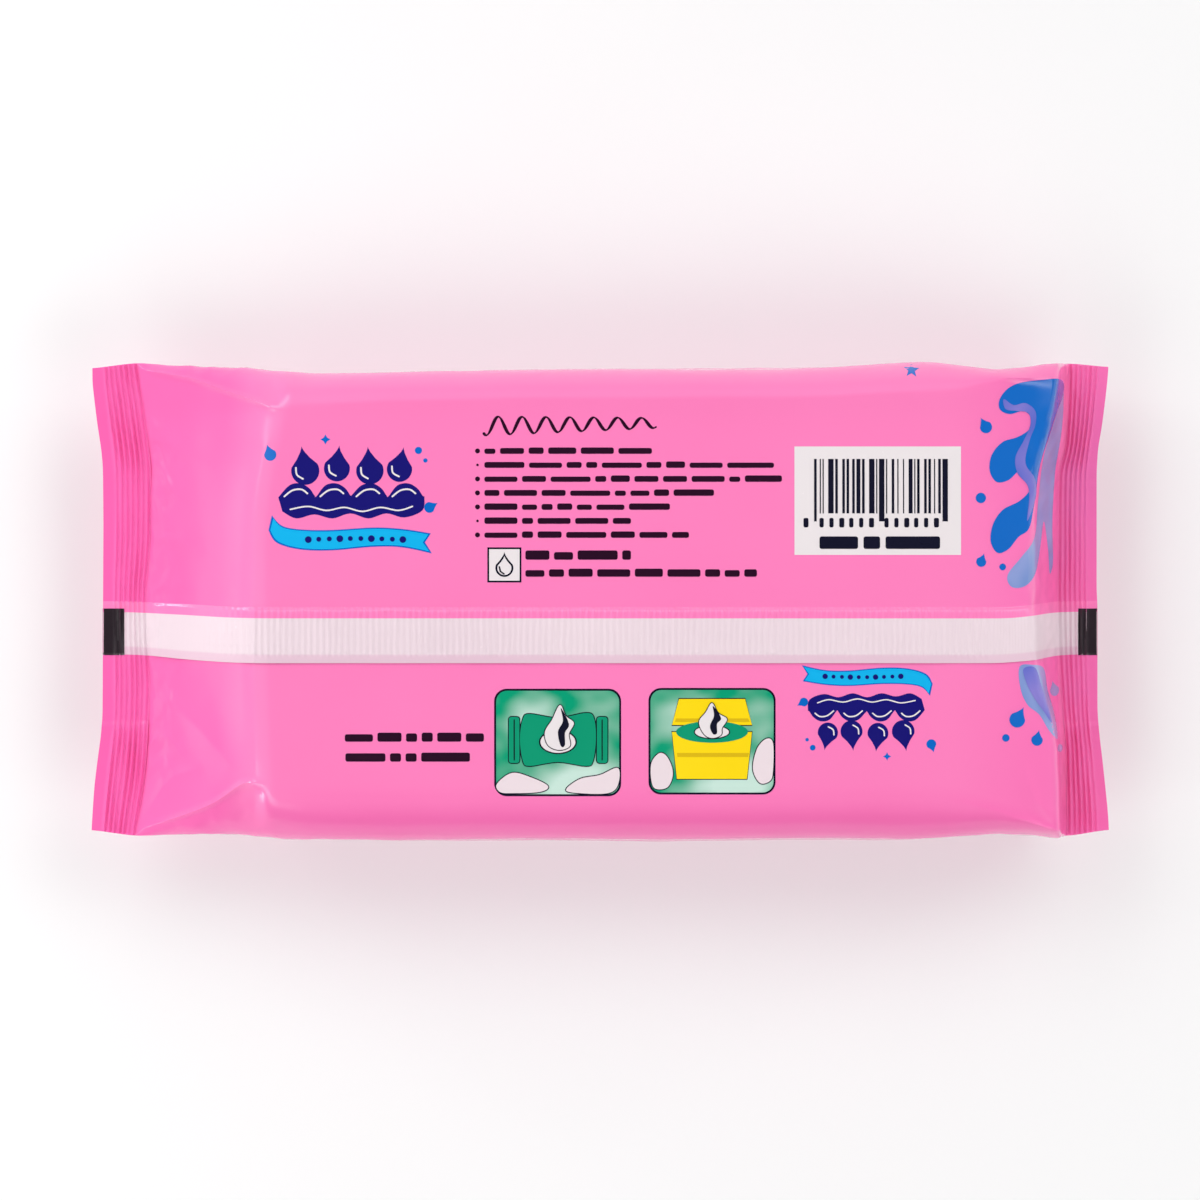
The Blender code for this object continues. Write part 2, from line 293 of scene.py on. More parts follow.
RIGHT_FOLDS = (
    # edge of the stack at the right end, as the crumpled film turns over it
    (px_fold([(1062, 404, 0.15), (1052, 424, 0.35), (1044, 446, 0.45), (1037, 468, 0.5), (1034, 494, 0.5),
              (1032, 520, 0.45), (1031, 545, 0.3), (1028, 565, 0.1)]), 0.9, 1.4, 0.30),
    (px_fold([(1034, 662, 0.2), (1041, 680, 0.4), (1048, 705, 0.45), (1056, 728, 0.4), (1061, 742, 0.1)]), 1.2, 0.9, 0.30),
    # folds over the corners
    (px_fold([(1000, 375, 0.05), (1016, 376.5, 0.35), (1040, 378.5, 0.5), (1062, 381, 0.3)]), 1.0, 1.6, 0.25),
    (px_fold([(1026, 752, 0.05), (1028, 776, 0.35), (1038, 800, 0.45), (1052, 818, 0.4), (1063, 829, 0.2)]), 2.6, 1.6, 0.6),
    (px_fold([(960, 803, 0.05), (990, 810, 0.4), (1022, 819, 0.45), (1054, 829, 0.2)]), 2.0, 2.4, 0.7),
    (px_fold([(1012, 408, 0.05), (1020, 428, 0.3), (1030, 452, 0.35), (1036, 470, 0.1)]), 1.2, 1.2, 0.3),
)


def relief(x, y):
    """Height added to the back panel at (x, y)."""
    left = rise_left(x, y)
    right = rise_right(x, y)
    slack = smooth((1.15 - left) / 0.5) * smooth(left / 0.12)
    out = 0.22 * noise(x / 46 + 3, y / 24, 1) + 0.10 * noise(x / 19, y / 15, 2)
    # the film bridges the stack's long edges, with a shallow groove inside them
    out += bump(x, y, -12, 48.5, 52, 2.6, 0, 0.34) + bump(x, y, 70, 49.5, 26, 2.6, -2, 0.22)
    out -= bump(x, y, 25, 42.5, 60, 4.5, 0, 0.22)
    out -= bump(x, y, 10, -41.0, 75, 5.0, 0, 0.20)
    # slack over the left end: wide soft hollows and a crushed strip along the crimp
    out += slack * (0.55 * noise(x / 13, y / 17, 3) + 0.25 * noise(x / 6, y / 8, 4))
    out -= slack * (bump(x, y, *at(200, 560), 5.5, 13, 0, 0.9) + bump(x, y, *at(176, 420), 5, 9, -25, 0.5))
    out -= slack * bump(x, y, *at(222, 705), 4, 10, 30, 0.9)
    near_crimp = smooth((0.34 - left) / 0.25) * smooth(left / 0.04)
    out += near_crimp * 0.75 * (crumple(x / 4.4, y / 6.5, 6) - 0.4) * smooth((46 - np.abs(y)) / 8)
    for points, wide_left, wide_right, tip in LEFT_FOLDS:
        out += fold(x, y, points, wide_left, wide_right, tip) * smooth(left / 0.06)
    end = smooth((3.2 - right) / 2.0) * smooth(right / 0.10)
    face = smooth((1.25 - right) / 0.35) * smooth(right / 0.12)
    out += end * 0.25 * noise(x / 9, y / 12, 8)
    out += face * 1.25 * (crumple(x / 4.2, y / 8.5, 9) - 0.45) * smooth((50 - np.abs(y)) / 8)
    for points, wide_left, wide_right, tip in RIGHT_FOLDS:
        out += fold(x, y, points, wide_left, wide_right, tip) * smooth(right / 0.08)
    return out * (1 - smooth((-0.02 - left) / 0.02)) * (1 - smooth((-0.02 - right) / 0.02))


def bead_profile(distance):
    return np.exp(-np.minimum((np.maximum(distance, 0.0) / BEAD_REACH) ** 1.3, 40.0))


def bead(x, y, flat_far, flat_near):
    """The crease's bead on the panel's own side of the edge."""
    far = BEAD_FAR(x) * bead_profile(flat_far - y) * (y > 0)
    near = BEAD_NEAR(x) * bead_profile(flat_near + y) * (y < 0)
    return far + near


def back_height(x, y, flat):
    """Height of the back panel over the row's floor; flat is the half width of its flat part there."""
    f = fullness(x, y)
    s = np.clip(np.abs(y) / flat, 0, 1)
    profile = np.where(y > 0, (1 - s * s) ** 2, 1 - s**3.4)
    swell = CROWN * smooth((f - 0.3) / 0.6) * profile
    return MID + SEAL + (FULL - SEAL) * f + swell


# ---------------------------------------------------------------------------
# the film as one closed grid of rings
# ---------------------------------------------------------------------------
def corner_sharpness(x, f, near):
    """How far the fold between a panel and its gusset has turned at its very edge, in radians."""
    left = smooth(((-76.5 if near else -72.5) - x) / 5.0)
    right = smooth((x - (95.0 if near else 89.0)) / 7.0)
    return math.radians(30.0) * float(max(left, right)) * float(smooth(f / 0.05))


def bezier(points, t):
    a, b, c, d = (np.array(p, float)[:, None] for p in points)
    return a * (1 - t) ** 3 + 3 * b * (1 - t) ** 2 * t + 3 * c * (1 - t) * t * t + d * t**3


def quarter(half, width, inset, start, depth, arc, leaf):
    """(y, z - MID) from the panel's edge down to the gusset's inner crease, for one station."""
    tall = min(max(1.12 * inset, 0.45 * half), 0.78 * half)
    level = half - tall  # where the side is steepest
    top = [
        (width - inset, half),
        (width - inset + 0.55 * inset * math.cos(start), half - 0.55 * inset * math.sin(start)),
        (width, level + 0.50 * tall), (width, level),
    ]
    ty, tz = width - depth, SLIT
    side = [(width, level), (width, lerp(level, tz, 0.45)), (lerp(width, ty, 0.45), lerp(level, tz, 0.72)), (ty, tz)]
    ys, zs = bezier(top, np.linspace(0, 1, arc + 1) ** 1.15)
    ly, lz = bezier(side, np.linspace(0, 1, leaf + 1)[1:])
    return np.concatenate([ys, ly]), np.concatenate([zs, lz])


def stations(coarse):
    """[(zone, t)] from the left cut edge to the right one."""
    k = 2 if coarse else 1
    out = []
    seal_run = 11.0
    margin = MARGIN / seal_run
    crimps = {z: list(np.linspace(margin, 1.0, RIDGES[z] * (8 // k) + 1)) for z in (0, 4)}
    edge = [0.0, 0.004, margin * 0.25, margin * 0.5, margin * 0.75]
    out += [(0, t) for t in edge + crimps[0]]
    out += [(1, t) for t in np.linspace(0.0, 1.0, 70 // k + 1) ** 0.97]
    first = np.linspace(0.0, 0.07, 20 // k + 1)[1:]
    body = np.linspace(0.07, 0.80, 58 // k + 1)[1:]
    last = np.linspace(0.80, 1.0, 44 // k + 1)[1:-1]
    out += [(2, t) for t in np.concatenate([first, body, last])]
    out += [(3, t) for t in np.linspace(0.0, 1.0, 30 // k + 1)]
    out += [(4, 1 - t) for t in reversed(edge + crimps[4])]
    return out


def crimp_wave(zone, t, y):
    """Height of the crimp along a station of a seal."""
    run = 1 - t if zone == 4 else t
    margin = MARGIN / 11.0
    if run <= margin:
        return 0.0 * y
    phase = (run - margin) / (1 - margin) * RIDGES[zone] + 0.10 * noise(y / 13, 0.7 * zone, 31)
    depth = CRIMP * (0.80 + 0.9 * noise(y / 15, zone + 5 * run, 32)) * (1 + 0.35 * smooth((np.abs(y) - 29) / 4))
    return depth * np.sin(2 * np.pi * phase) * min(1.0, (run - margin) / 0.04)


def seal_steps(zone, x, y):
    """Where the gusset's two leaves end inside a seal: a small step, scalloped by the jaws."""
    out = 0.13 * smooth((np.abs(y) - 28.6) / 0.9)
    side = -1 if zone == 0 else 1
    for level, height in ((27.4, 0.16), (31.2, 0.10), (-29.6, 0.18), (-33.0, 0.08)):
        wander = level + 0.5 * noise(x / 3.1, level, 33)
        scallop = 0.65 + 0.35 * np.cos(2 * np.pi * x / 1.19)
        out = out + height * scallop * np.exp(-0.5 * ((y - wander) / 0.38) ** 2)
    wrinkle = crumple(x / 2.2, y / 5.5, 34 + side)
    patch = np.exp(-0.5 * ((y - (-24 if zone == 0 else -20)) / 9) ** 2)
    patch = patch + (0.9 * np.exp(-0.5 * ((y - 12) / 14) ** 2) if zone == 4 else 0)
    return out + 0.10 * (wrinkle - 0.4) * patch


def label_bed(x, y):
    """How far the front panel is pressed in under the label, which lies between it and the table."""
    dx = np.maximum(np.abs(x) - (48.0 - 9.0), 0.0)
    dy = np.maximum(np.abs(y) - (30.0 - 9.0), 0.0)
    out = np.hypot(dx, dy) - 9.0
    tab = np.hypot(np.maximum(np.abs(x - 52.0) - 3.0, 0), np.maximum(np.abs(y) - 6.0, 0)) - 6.0
    return 0.75 * smooth((2.8 - np.minimum(out, tab)) / 2.0)


def film_rings(coarse=False):
    k = 2 if coarse else 1
    n_top, n_arc, n_leaf, n_low = 188 // k, 11, 6, 34 // k
    even = np.linspace(-1, 1, n_top + 1)
    spread = 0.78 * even + 0.22 * np.sin(np.pi / 2 * even)  # closer together towards the edges
    spread /= spread[-1]
    rings = []
    for zone, t in stations(coarse):
        sealed = zone in (0, 4)
        sides = []
        for sign, widths, insets in ((1, FAR, EDGE_FAR), (-1, NEAR, EDGE_NEAR)):
            flat = 46.0
            for _ in range(8):
                x = float(plan(zone, t, sign * flat))
                width = float(widths(x))
                f = float(fullness(x, sign * flat)) if not sealed else 0.0
                half = SEAL + (FULL - SEAL) * f
                inset = min(float(insets(x)), 0.9 * half + 0.3)
                flat = width if sealed else width - inset
            start = corner_sharpness(x, f, sign < 0)
            if sign < 0:
                start = max(start, math.radians(DROOP) * float(smooth((f - 0.3) / 0.6)))
            depth = math.sqrt(max(TUCK**2 - half**2, 0.0))
            along = min(abs(x + 80.0), abs(x - 104.0))
            depth += 2.2 * math.exp(-along / 14.0) * float(smooth(f))
            depth -= 0.6 * float(smooth((f - 0.8) / 0.2))
            if sealed:
                turn = np.linspace(0.0, math.pi / 2, n_arc + n_leaf + 2)[:-1]
                ys = width - 0.16 * (1 - np.sin(turn))
                zs = SEAL * np.cos(turn)
                flat = width - 0.16
            else:
                ys, zs = quarter(half, width, inset, start, depth, n_arc, n_leaf)
            sides.append((ys, zs, flat, half))
        (fy, fz, flat_far, _), (ny, nz, flat_near, _) = sides
        middle, reach = (flat_far - flat_near) / 2, (flat_far + flat_near) / 2
        top = middle - reach * spread
        low = np.linspace(-flat_near, flat_far, n_low + 1)
        y = np.concatenate([top, -ny[1:], -ny[::-1], low[1:-1], fy, fy[::-1][:-1]])
        x = plan(zone, t, y)
        flat_here = np.where(top > middle, flat_far, flat_near)
        if sealed:
            lift = crimp_wave(zone, t, y)
            double = seal_steps(zone, x, y)
            wave = 0.35 * noise(y / 21, x * 0 + (3 if zone == 0 else 9), 11)
            z_top = np.full(top.shape, MID + SEAL)
            z_low = np.full(low.shape, MID - SEAL)
        else:
            lift, double, wave = 0.0, 0.0, 0.0
            x_top = plan(zone, t, top)
            z_top = back_height(x_top, top, flat_here[: len(top)]) + relief(x_top, top)
            z_top = z_top + bead(x_top, top, flat_far, flat_near)
            f_low = fullness(plan(zone, t, low), low)
            z_low = MID - SEAL - (FULL - SEAL) * f_low + label_bed(plan(zone, t, low), low)
        z = np.concatenate(
            [z_top, MID + nz[1:], MID - nz[::-1], z_low[1:-1], MID - fz, MID + fz[::-1][:-1]]
        )
        z = z + lift + wave
        # the fold's own relief runs on round the corner, so that the two sides of it meet
        first, last = z_top[0] - (MID + fz[0]), z_top[-1] - (MID + nz[0])
        run_near = np.cumsum(np.hypot(np.diff(ny), np.diff(nz)))
        run_far = np.cumsum(np.hypot(np.diff(fy), np.diff(fz)))
        bead_far, bead_near = float(BEAD_FAR(x[0])), float(BEAD_NEAR(x[n_top]))
        fade_near = (last - bead_near) * np.exp(-run_near / 2.2) + bead_near * bead_profile(run_near)
        fade_far = (first - bead_far) * np.exp(-run_far / 2.2) + bead_far * bead_profile(run_far)
        fade_near, fade_far = fade_near * (not sealed), fade_far[::-1] * (not sealed)
        n0 = len(top)
        z[n0 : n0 + len(ny) - 1] += fade_near
        z[len(z) - (len(fy) - 1) :] += fade_far
        if sealed:
            upper = np.zeros(len(z), bool)
            upper[: n0 + len(ny) - 1] = True
            upper[len(z) - (len(fy) - 1) :] = True
            z += np.where(upper, double, -double)
        rings.append(np.stack([x, y, z], axis=1))
    return np.array(rings), n_top


def mesh_object(name, points, quads, material, smooth_shade=True, ends=()):
    mesh = bpy.data.meshes.new(name)
    faces = [tuple(q) for q in quads] + [tuple(e) for e in ends]
    mesh.from_pydata([tuple(p) for p in (points * MM).tolist()], [], faces)
    mesh.validate()
    bm = bmesh.new()
    bm.from_mesh(mesh)
    bmesh.ops.recalc_face_normals(bm, faces=bm.faces[:])
    bm.to_mesh(mesh)
    bm.free()
    if smooth_shade:
        mesh.shade_smooth()
    mesh.materials.append(material)
    obj = bpy.data.objects.new(name, mesh)
    bpy.context.scene.collection.objects.link(obj)
    return obj


def cap_faces(points, first):
    """Triangles that close a thin ring end, each joining near neighbours across it."""
    y = points[:, 1]
    n = len(y)
    far, near = int(np.argmax(y)), int(np.argmin(y))
    over = [(far + i) % n for i in range((near - far) % n + 1)]
    under = [(far - i) % n for i in range((far - near) % n + 1)]
    i = j = 0
    out = []
    while i < len(over) - 1 or j < len(under) - 1:
        step_over = j == len(under) - 1 or (i < len(over) - 1 and y[over[i + 1]] >= y[under[j + 1]])
        if step_over:
            face = (over[i], over[i + 1], under[j])
            i += 1
        else:
            face = (over[i], under[j + 1], under[j])
            j += 1
        if len(set(face)) == 3:
            out.append(tuple(first + k for k in face))
    return out


def grid_faces(rows, columns, closed):
    i = np.arange(rows - 1)[:, None] * columns
    j = np.arange(columns if closed else columns - 1)[None, :]
    k = (j + 1) % columns
    return np.stack([i + j, i + k, i + columns + k, i + columns + j], axis=2).reshape(-1, 4).tolist()


def side_relief(rings, n_top):
    """Slack and folds of the side walls, the gussets and the front panel, along the film's normal."""
    du = np.gradient(rings, axis=0)
    dv = np.roll(rings, -1, axis=1) - np.roll(rings, 1, axis=1)
    normal = np.cross(dv, du)
    normal /= np.maximum(np.linalg.norm(normal, axis=2, keepdims=True), 1e-9)
    x, y, z = rings[..., 0], rings[..., 1], rings[..., 2]
    count = rings.shape[1]
    index = np.arange(count)
    beyond = np.where(index > n_top, np.minimum(index - n_top, count - index), 0)
    side = smooth(beyond / 9.0)[None, :] * smooth((MID + FULL - 1.0 - z) / 6.0)
    inside = smooth((110.0 - np.abs(x)) / 3.0)
    wall = smooth((np.abs(y) - 40) / 12)
    end = smooth((np.abs(x - 12) - 70) / 22)
    far = np.where(y > 0, 40.0, 0.0)
    out = wall * (0.35 * noise(x / 30 + far, z / 15, 21) + 0.16 * noise(x / 9 + far, z / 13, 22))
    out += wall * end * 0.55 * (crumple(x / 14 + far, z / 9, 23) - 0.4)
    low = smooth((4.0 - z) / 4.0) * (1 - wall)
    out = out * smooth(z / 5.0) * smooth(fullness(x, y) / 0.25)
    gap = 0.9 * (1 - smooth((np.abs(y) - 30) / 6))
    out -= gap * 0
    return rings + normal * (out * side * inside)[..., None], low


# ---------------------------------------------------------------------------
# materials
# ---------------------------------------------------------------------------
def principled(name, colour, roughness, **more):
    material = bpy.data.materials.new(name)
    material.use_nodes = True
    shader = material.node_tree.nodes["Principled BSDF"]
    shader.inputs["Base Color"].default_value = (*colour, 1.0)
    shader.inputs["Roughness"].default_value = roughness
    for key, value in more.items():
        shader.inputs[key.replace("_", " ")].default_value = value
    return material, material.node_tree, shader


def film_material(name, colour, dark, roughness=0.14, grain=0.06, mottle=0.5, bump_strength=0.04):
    """Printed, laminated film: ink laid a little unevenly under a gloss that isn't quite flat."""
    material, tree, shader = principled(name, colour, roughness)
    nodes, links = tree.nodes, tree.links
    place = nodes.new("ShaderNodeTexCoord")
    broad = nodes.new("ShaderNodeTexNoise")
    broad.inputs["Scale"].default_value = 28.0
    broad.inputs["Detail"].default_value = 3.0
    links.new(place.outputs["Object"], broad.inputs["Vector"])
    mix = nodes.new("ShaderNodeMix")
    mix.data_type = "RGBA"
    mix.inputs["A"].default_value = (*colour, 1.0)
    mix.inputs["B"].default_value = (*dark, 1.0)
    scale = nodes.new("ShaderNodeMapRange")
    scale.inputs["From Min"].default_value = 0.35
    scale.inputs["From Max"].default_value = 0.75
    scale.inputs["To Max"].default_value = mottle
    links.new(broad.outputs["Fac"], scale.inputs["Value"])
    links.new(scale.outputs["Result"], mix.inputs["Factor"])
    links.new(mix.outputs["Result"], shader.inputs["Base Color"])
    fine = nodes.new("ShaderNodeTexNoise")
    fine.inputs["Scale"].default_value = 420.0
    fine.inputs["Detail"].default_value = 4.0
    links.new(place.outputs["Object"], fine.inputs["Vector"])
    rough = nodes.new("ShaderNodeMapRange")
    rough.inputs["To Min"].default_value = roughness - grain / 2
    rough.inputs["To Max"].default_value = roughness + grain / 2
    links.new(fine.outputs["Fac"], rough.inputs["Value"])
    links.new(rough.outputs["Result"], shader.inputs["Roughness"])
    relief_node = nodes.new("ShaderNodeBump")
    relief_node.inputs["Strength"].default_value = bump_strength
    relief_node.inputs["Distance"].default_value = 0.0004
    links.new(fine.outputs["Fac"], relief_node.inputs["Height"])
    links.new(relief_node.outputs["Normal"], shader.inputs["Normal"])
    return material


pink = film_material("film_pink", (0.95, 0.218, 0.50), (0.93, 0.198, 0.475))
white_film = film_material("film_white", (0.80, 0.66, 0.715), (0.75, 0.60, 0.665), 0.26)
ink_black = film_material("ink_black", (0.018, 0.012, 0.016), (0.03, 0.02, 0.028), 0.25)

def add_deep_tone_and_shade(material, colour, dark):
    """Lets the mesh's depth attribute turn a film towards a deeper colour: the film's own deeper tone where it lies
    double or at the fin's pink margin, and painted shade where the pack's slopes, shoulders and end face turn from the
    light.
    """
    tree = material.node_tree
    shader = tree.nodes["Principled BSDF"]
    was = shader.inputs["Base Color"].links[0].from_socket
    attribute = tree.nodes.new("ShaderNodeAttribute")
    attribute.attribute_name = "depth"
    noise_node = [n for n in tree.nodes if n.type == "TEX_NOISE"][0]
    deep = tree.nodes.new("ShaderNodeMix")
    deep.data_type = "RGBA"
    deep.inputs["A"].default_value = (*colour, 1.0)
    deep.inputs["B"].default_value = (*dark, 1.0)
    tree.links.new(noise_node.outputs["Fac"], deep.inputs["Factor"])
    mix = tree.nodes.new("ShaderNodeMix")
    mix.data_type = "RGBA"
    tree.links.new(attribute.outputs["Fac"], mix.inputs["Factor"])
    tree.links.new(was, mix.inputs["A"])
    tree.links.new(deep.outputs["Result"], mix.inputs["B"])
    tree.links.new(mix.outputs["Result"], shader.inputs["Base Color"])


def set_deep_tone_and_shade(obj, values):
    data = obj.data.attributes.new("depth", "FLOAT", "POINT").data
    data.foreach_set("value", np.asarray(values, np.float32))


# deeper pink for the double-film seals, also used as painted shade on the back panel's slopes, near shoulder and right
# end
add_deep_tone_and_shade(pink, (0.90, 0.125, 0.43), (0.86, 0.105, 0.385))


# ---------------------------------------------------------------------------
# pieces
# ---------------------------------------------------------------------------
rings, n_top = film_rings()
rings, _ = side_relief(rings, n_top)
rows, columns = rings.shape[:2]
ends = cap_faces(rings[0], 0) + cap_faces(rings[-1], (rows - 1) * columns)
film = mesh_object("pack_film", rings.reshape(-1, 3), grid_faces(rows, columns, True), pink, ends=ends)
film.data.set_sharp_from_angle(angle=math.radians(60))
film_x, film_y = rings[..., 0].ravel(), rings[..., 1].ravel()
film_z = rings[..., 2].ravel()
# the seals' real deeper tone where the film lies double, with the left seal given more than the right as painted shade
in_seal = 1 - smooth(np.minimum(rise_left(film_x, film_y), rise_right(film_x, film_y)) / 0.06 + 0.35)
in_seal = in_seal * np.where(film_x < 0, 0.85, 0.42)
# painted shade: the left slack slope, the right end face and its roll-off, and the near shoulder are darkened in colour
# rather than by light
slack_shade = smooth((1.02 - rise_left(film_x, film_y)) / 0.40) * 0.72
end_face_shade = smooth((1.15 - rise_right(film_x, film_y)) / 0.9) * 0.55
roll_off_shade = smooth((film_x - 80) / 24) * 0.42
shoulder = smooth((-film_y - 42.0) / 10.0) * 0.55 * smooth((film_z - 8.0) / 10.0)
set_deep_tone_and_shade(film, np.maximum.reduce([in_seal, slack_shade, np.where(film_x < 108, np.maximum(end_face_shade, roll_off_shade), 0.0), shoulder]))
print("film", rows, columns, len(film.data.polygons))
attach(film, "root")
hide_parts("pack")

# ---------------------------------------------------------------------------
# the back fin
# ---------------------------------------------------------------------------
def bvh_of(*objects):
    verts, faces = [], []
    for obj in objects:
        start = len(verts)
        verts += [v.co / MM for v in obj.data.vertices]
        faces += [[start + i for i in p.vertices] for p in obj.data.polygons]
    return BVHTree.FromPolygons(verts, faces)


def drop_onto(tree, x, y, fallback=MID):
    """Heights of the surface under points, seen from above."""
    out = np.empty(len(x))
    down = Vector((0, 0, -1))
    for i in range(len(x)):
        hit = tree.ray_cast(Vector((x[i], y[i], 200.0)), down)[0]
        out[i] = fallback if hit is None else hit.z
    return out


film_tree = bvh_of(film)

# the printed band's lower edge and the fin's free edge, along the pack
FIN_SEAM = Curve([(px / PX - 140.2, (599.5 - py) / PX) for px, py in
                  [(86, 611.2), (125, 611.4), (180, 614.0), (225, 616.6), (260, 617.4), (1010, 617.5),
                   (1035, 614.8), (1060, 611.5), (1080, 611.0), (1110, 611.0)]], 2.0)
FIN_EDGE = Curve([(px / PX - 140.2, (599.5 - py) / PX) for px, py in
                  [(86, 654.2), (125, 654.2), (150, 655.6), (180, 658.8), (225, 661.6), (260, 662.2), (1000, 662.2),
                   (1035, 659.6), (1055, 656.0), (1075, 654.2), (1110, 654.2)]], 2.0)

RIB_PITCH = 1.44
rib_heights = np.random.RandomState(8).uniform(0.55, 1.15, 260)


def ribs(x, across):
    """Height of the sealing jaws' ribs; across runs from the fin's fold to its edge, in mm."""
    reach = smooth((x + 101) / 17) * smooth((106 - x) / 12)
    fine = smooth((x - 88) / 8)
    place = x / RIB_PITCH + 0.22 * noise(x / 4.0, across / 6.0, 41) + 0.12 * across / 13.0
    wave = 0.5 + 0.5 * np.cos(2 * np.pi * place)
    wave = lerp(wave, 0.5 + 0.5 * np.cos(2 * np.pi * place * 2), fine)
    each = rib_heights[np.clip(np.round(place).astype(int) + 130, 0, 259)]
    beads = 1.0
    for row, strength in ((6.0, 0.35), (8.8, 0.5), (10.6, 0.7)):
        beads = beads + strength * np.exp(-0.5 * ((across - row) / 0.32) ** 2)
    margin = 1 - 0.72 * smooth((across - 11.0) / 0.5)
    return 0.185 * reach * wave * each * beads * margin * lerp(1.0, 0.6, fine)


def fin_lift(x, across, width):
    """How far the folded-down fin stands off the back panel."""
    sealed = smooth((np.abs(x - 0.5) - 104.5) / 3.0)
    rise = smooth(across / 0.9)
    sag = 0.16 * np.sin(np.pi * np.clip(across / width, 0, 1)) + 0.22 * noise(x / 11, across / 9, 43)
    free = 0.42 * rise - 0.10 * smooth((across - 10.8) / 2.3) + sag * rise
    return lerp(free, 0.12 * rise, sealed)


def strip(name, material, span, thick=0.11):
    """A closed band of the fin between two shares of its width, given in mm from its fold."""
    xs = np.arange(CUT_LEFT(-8.0) + 0.08, CUT_RIGHT(-8.0) - 0.08, 0.18)
    rows = []
    for across in span:
        seam, edge = FIN_SEAM(xs), FIN_EDGE(xs)
        pink = FIN_PINK
        white = FIN_WIDE - FIN_PINK
        y = np.where(across <= pink, seam + (pink - across), lerp(seam, edge, (across - pink) / white))
        rows.append((across, y))
    top, low = [], []
    for across, y in rows:
        base = drop_onto(film_tree, xs, y)
        z = base + fin_lift(xs, across, FIN_WIDE) + ribs(xs, across)
        top.append(np.stack([xs, y, z], axis=1))
        under = z - (thick if across > 0.3 else 0.03)
        low.append(np.stack([xs, y, under], axis=1))
    loop = np.array(top + low[::-1]).transpose(1, 0, 2)
    count, columns = loop.shape[:2]
    ends = cap_faces(loop[0], 0) + cap_faces(loop[-1], (count - 1) * columns)
    obj = mesh_object(name, loop.reshape(-1, 3), grid_faces(count, columns, True), material, ends=ends)
    obj.data.set_sharp_from_angle(angle=math.radians(50))
    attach(obj, "root")
    return obj


fin_root = strip("fin_root", pink, [0.0, 0.12, 0.3, 0.5, 0.75, 1.05, 1.4, 1.8, 2.2, FIN_PINK])
white_span = [FIN_PINK, 2.75, 3.0, 3.6, 4.4, 5.2, 5.6, 6.0, 6.4, 7.2, 8.0, 8.4, 8.8, 9.2, 9.9, 10.25, 10.6, 10.9,
              11.1, 11.4, 12.0, 12.7, 12.98, FIN_WIDE]
add_deep_tone_and_shade(white_film, (0.76, 0.52, 0.63), (0.72, 0.47, 0.59))
fin_edge = strip("fin_edge", white_film, white_span)
spans = np.array(white_span + white_span[::-1])
set_deep_tone_and_shade(fin_edge, np.tile(0.75 * smooth((spans - 10.95) / 0.3), len(fin_edge.data.vertices) // len(spans)))
for obj in (fin_root, fin_edge):
    print(obj.name, len(obj.data.polygons))

# ---------------------------------------------------------------------------
# print, as thin inked shapes laid on the film.  Shapes are given in the picture's pixels.
# ---------------------------------------------------------------------------
surface = bvh_of(film, fin_root, fin_edge)


def spline(points, per=8, closed=True):
    """Catmull-Rom curve through points."""
    p = np.array(points, float)
    n = len(p)
    out = []
    for i in range(n if closed else n - 1):
        if closed:
            a, b, c, d = p[(i - 1) % n], p[i], p[(i + 1) % n], p[(i + 2) % n]
        else:
            a, b, c, d = p[max(i - 1, 0)], p[i], p[i + 1], p[min(i + 2, n - 1)]
        for t in np.arange(per) / per:
            out.append(0.5 * (2 * b + (c - a) * t + (2 * a - 5 * b + 4 * c - d) * t**2 + (3 * b - a - 3 * c + d) * t**3))
    if not closed:
        out.append(p[-1])
    return [tuple(q) for q in out]


def disc(cx, cy, r, n=28, squash=1.0, turn=0.0):
    c, s = math.cos(math.radians(turn)), math.sin(math.radians(turn))
    out = []
    for a in np.arange(n) * 2 * np.pi / n:
        u, v = r * math.cos(a), r * squash * math.sin(a)
        out.append((cx + u * c - v * s, cy + u * s + v * c))
    return out


def block(x0, y0, x1, y1, r=0.0, n=6):
    """A rectangle, its corners rounded to radius r."""
    if r <= 0:
        return [(x0, y0), (x1, y0), (x1, y1), (x0, y1)]
    out = []
    for cx, cy, a0 in ((x1 - r, y1 - r, 0), (x0 + r, y1 - r, 90), (x0 + r, y0 + r, 180), (x1 - r, y0 + r, 270)):
        for a in np.linspace(a0, a0 + 90, n + 1):
            out.append((cx + r * math.cos(math.radians(a)), cy + r * math.sin(math.radians(a))))
    return out


def stroke(points, width, caps=5):
    """A pen line through points; width is a number or one for each point, and its ends are round."""
    p = np.array(points, float)
    w = np.full(len(p), width / 2.0) if np.isscalar(width) else np.array(width, float) / 2.0
    d = np.gradient(p, axis=0)
    d /= np.linalg.norm(d, axis=1, keepdims=True)
    n = np.stack([-d[:, 1], d[:, 0]], axis=1)
    left, right = p + n * w[:, None], p - n * w[:, None]

    def cap(centre, radius, direction, sign):
        a0 = math.atan2(direction[0] * sign, -direction[1] * sign)
        return [tuple(centre + radius * np.array([math.cos(a0 - t), math.sin(a0 - t)]))
                for t in np.linspace(0, math.pi, caps + 2)[1:-1]]

    return (
        [tuple(q) for q in left] + cap(p[-1], w[-1], d[-1], 1) + [tuple(q) for q in right[::-1]]
        + cap(p[0], w[0], d[0], -1)
    )


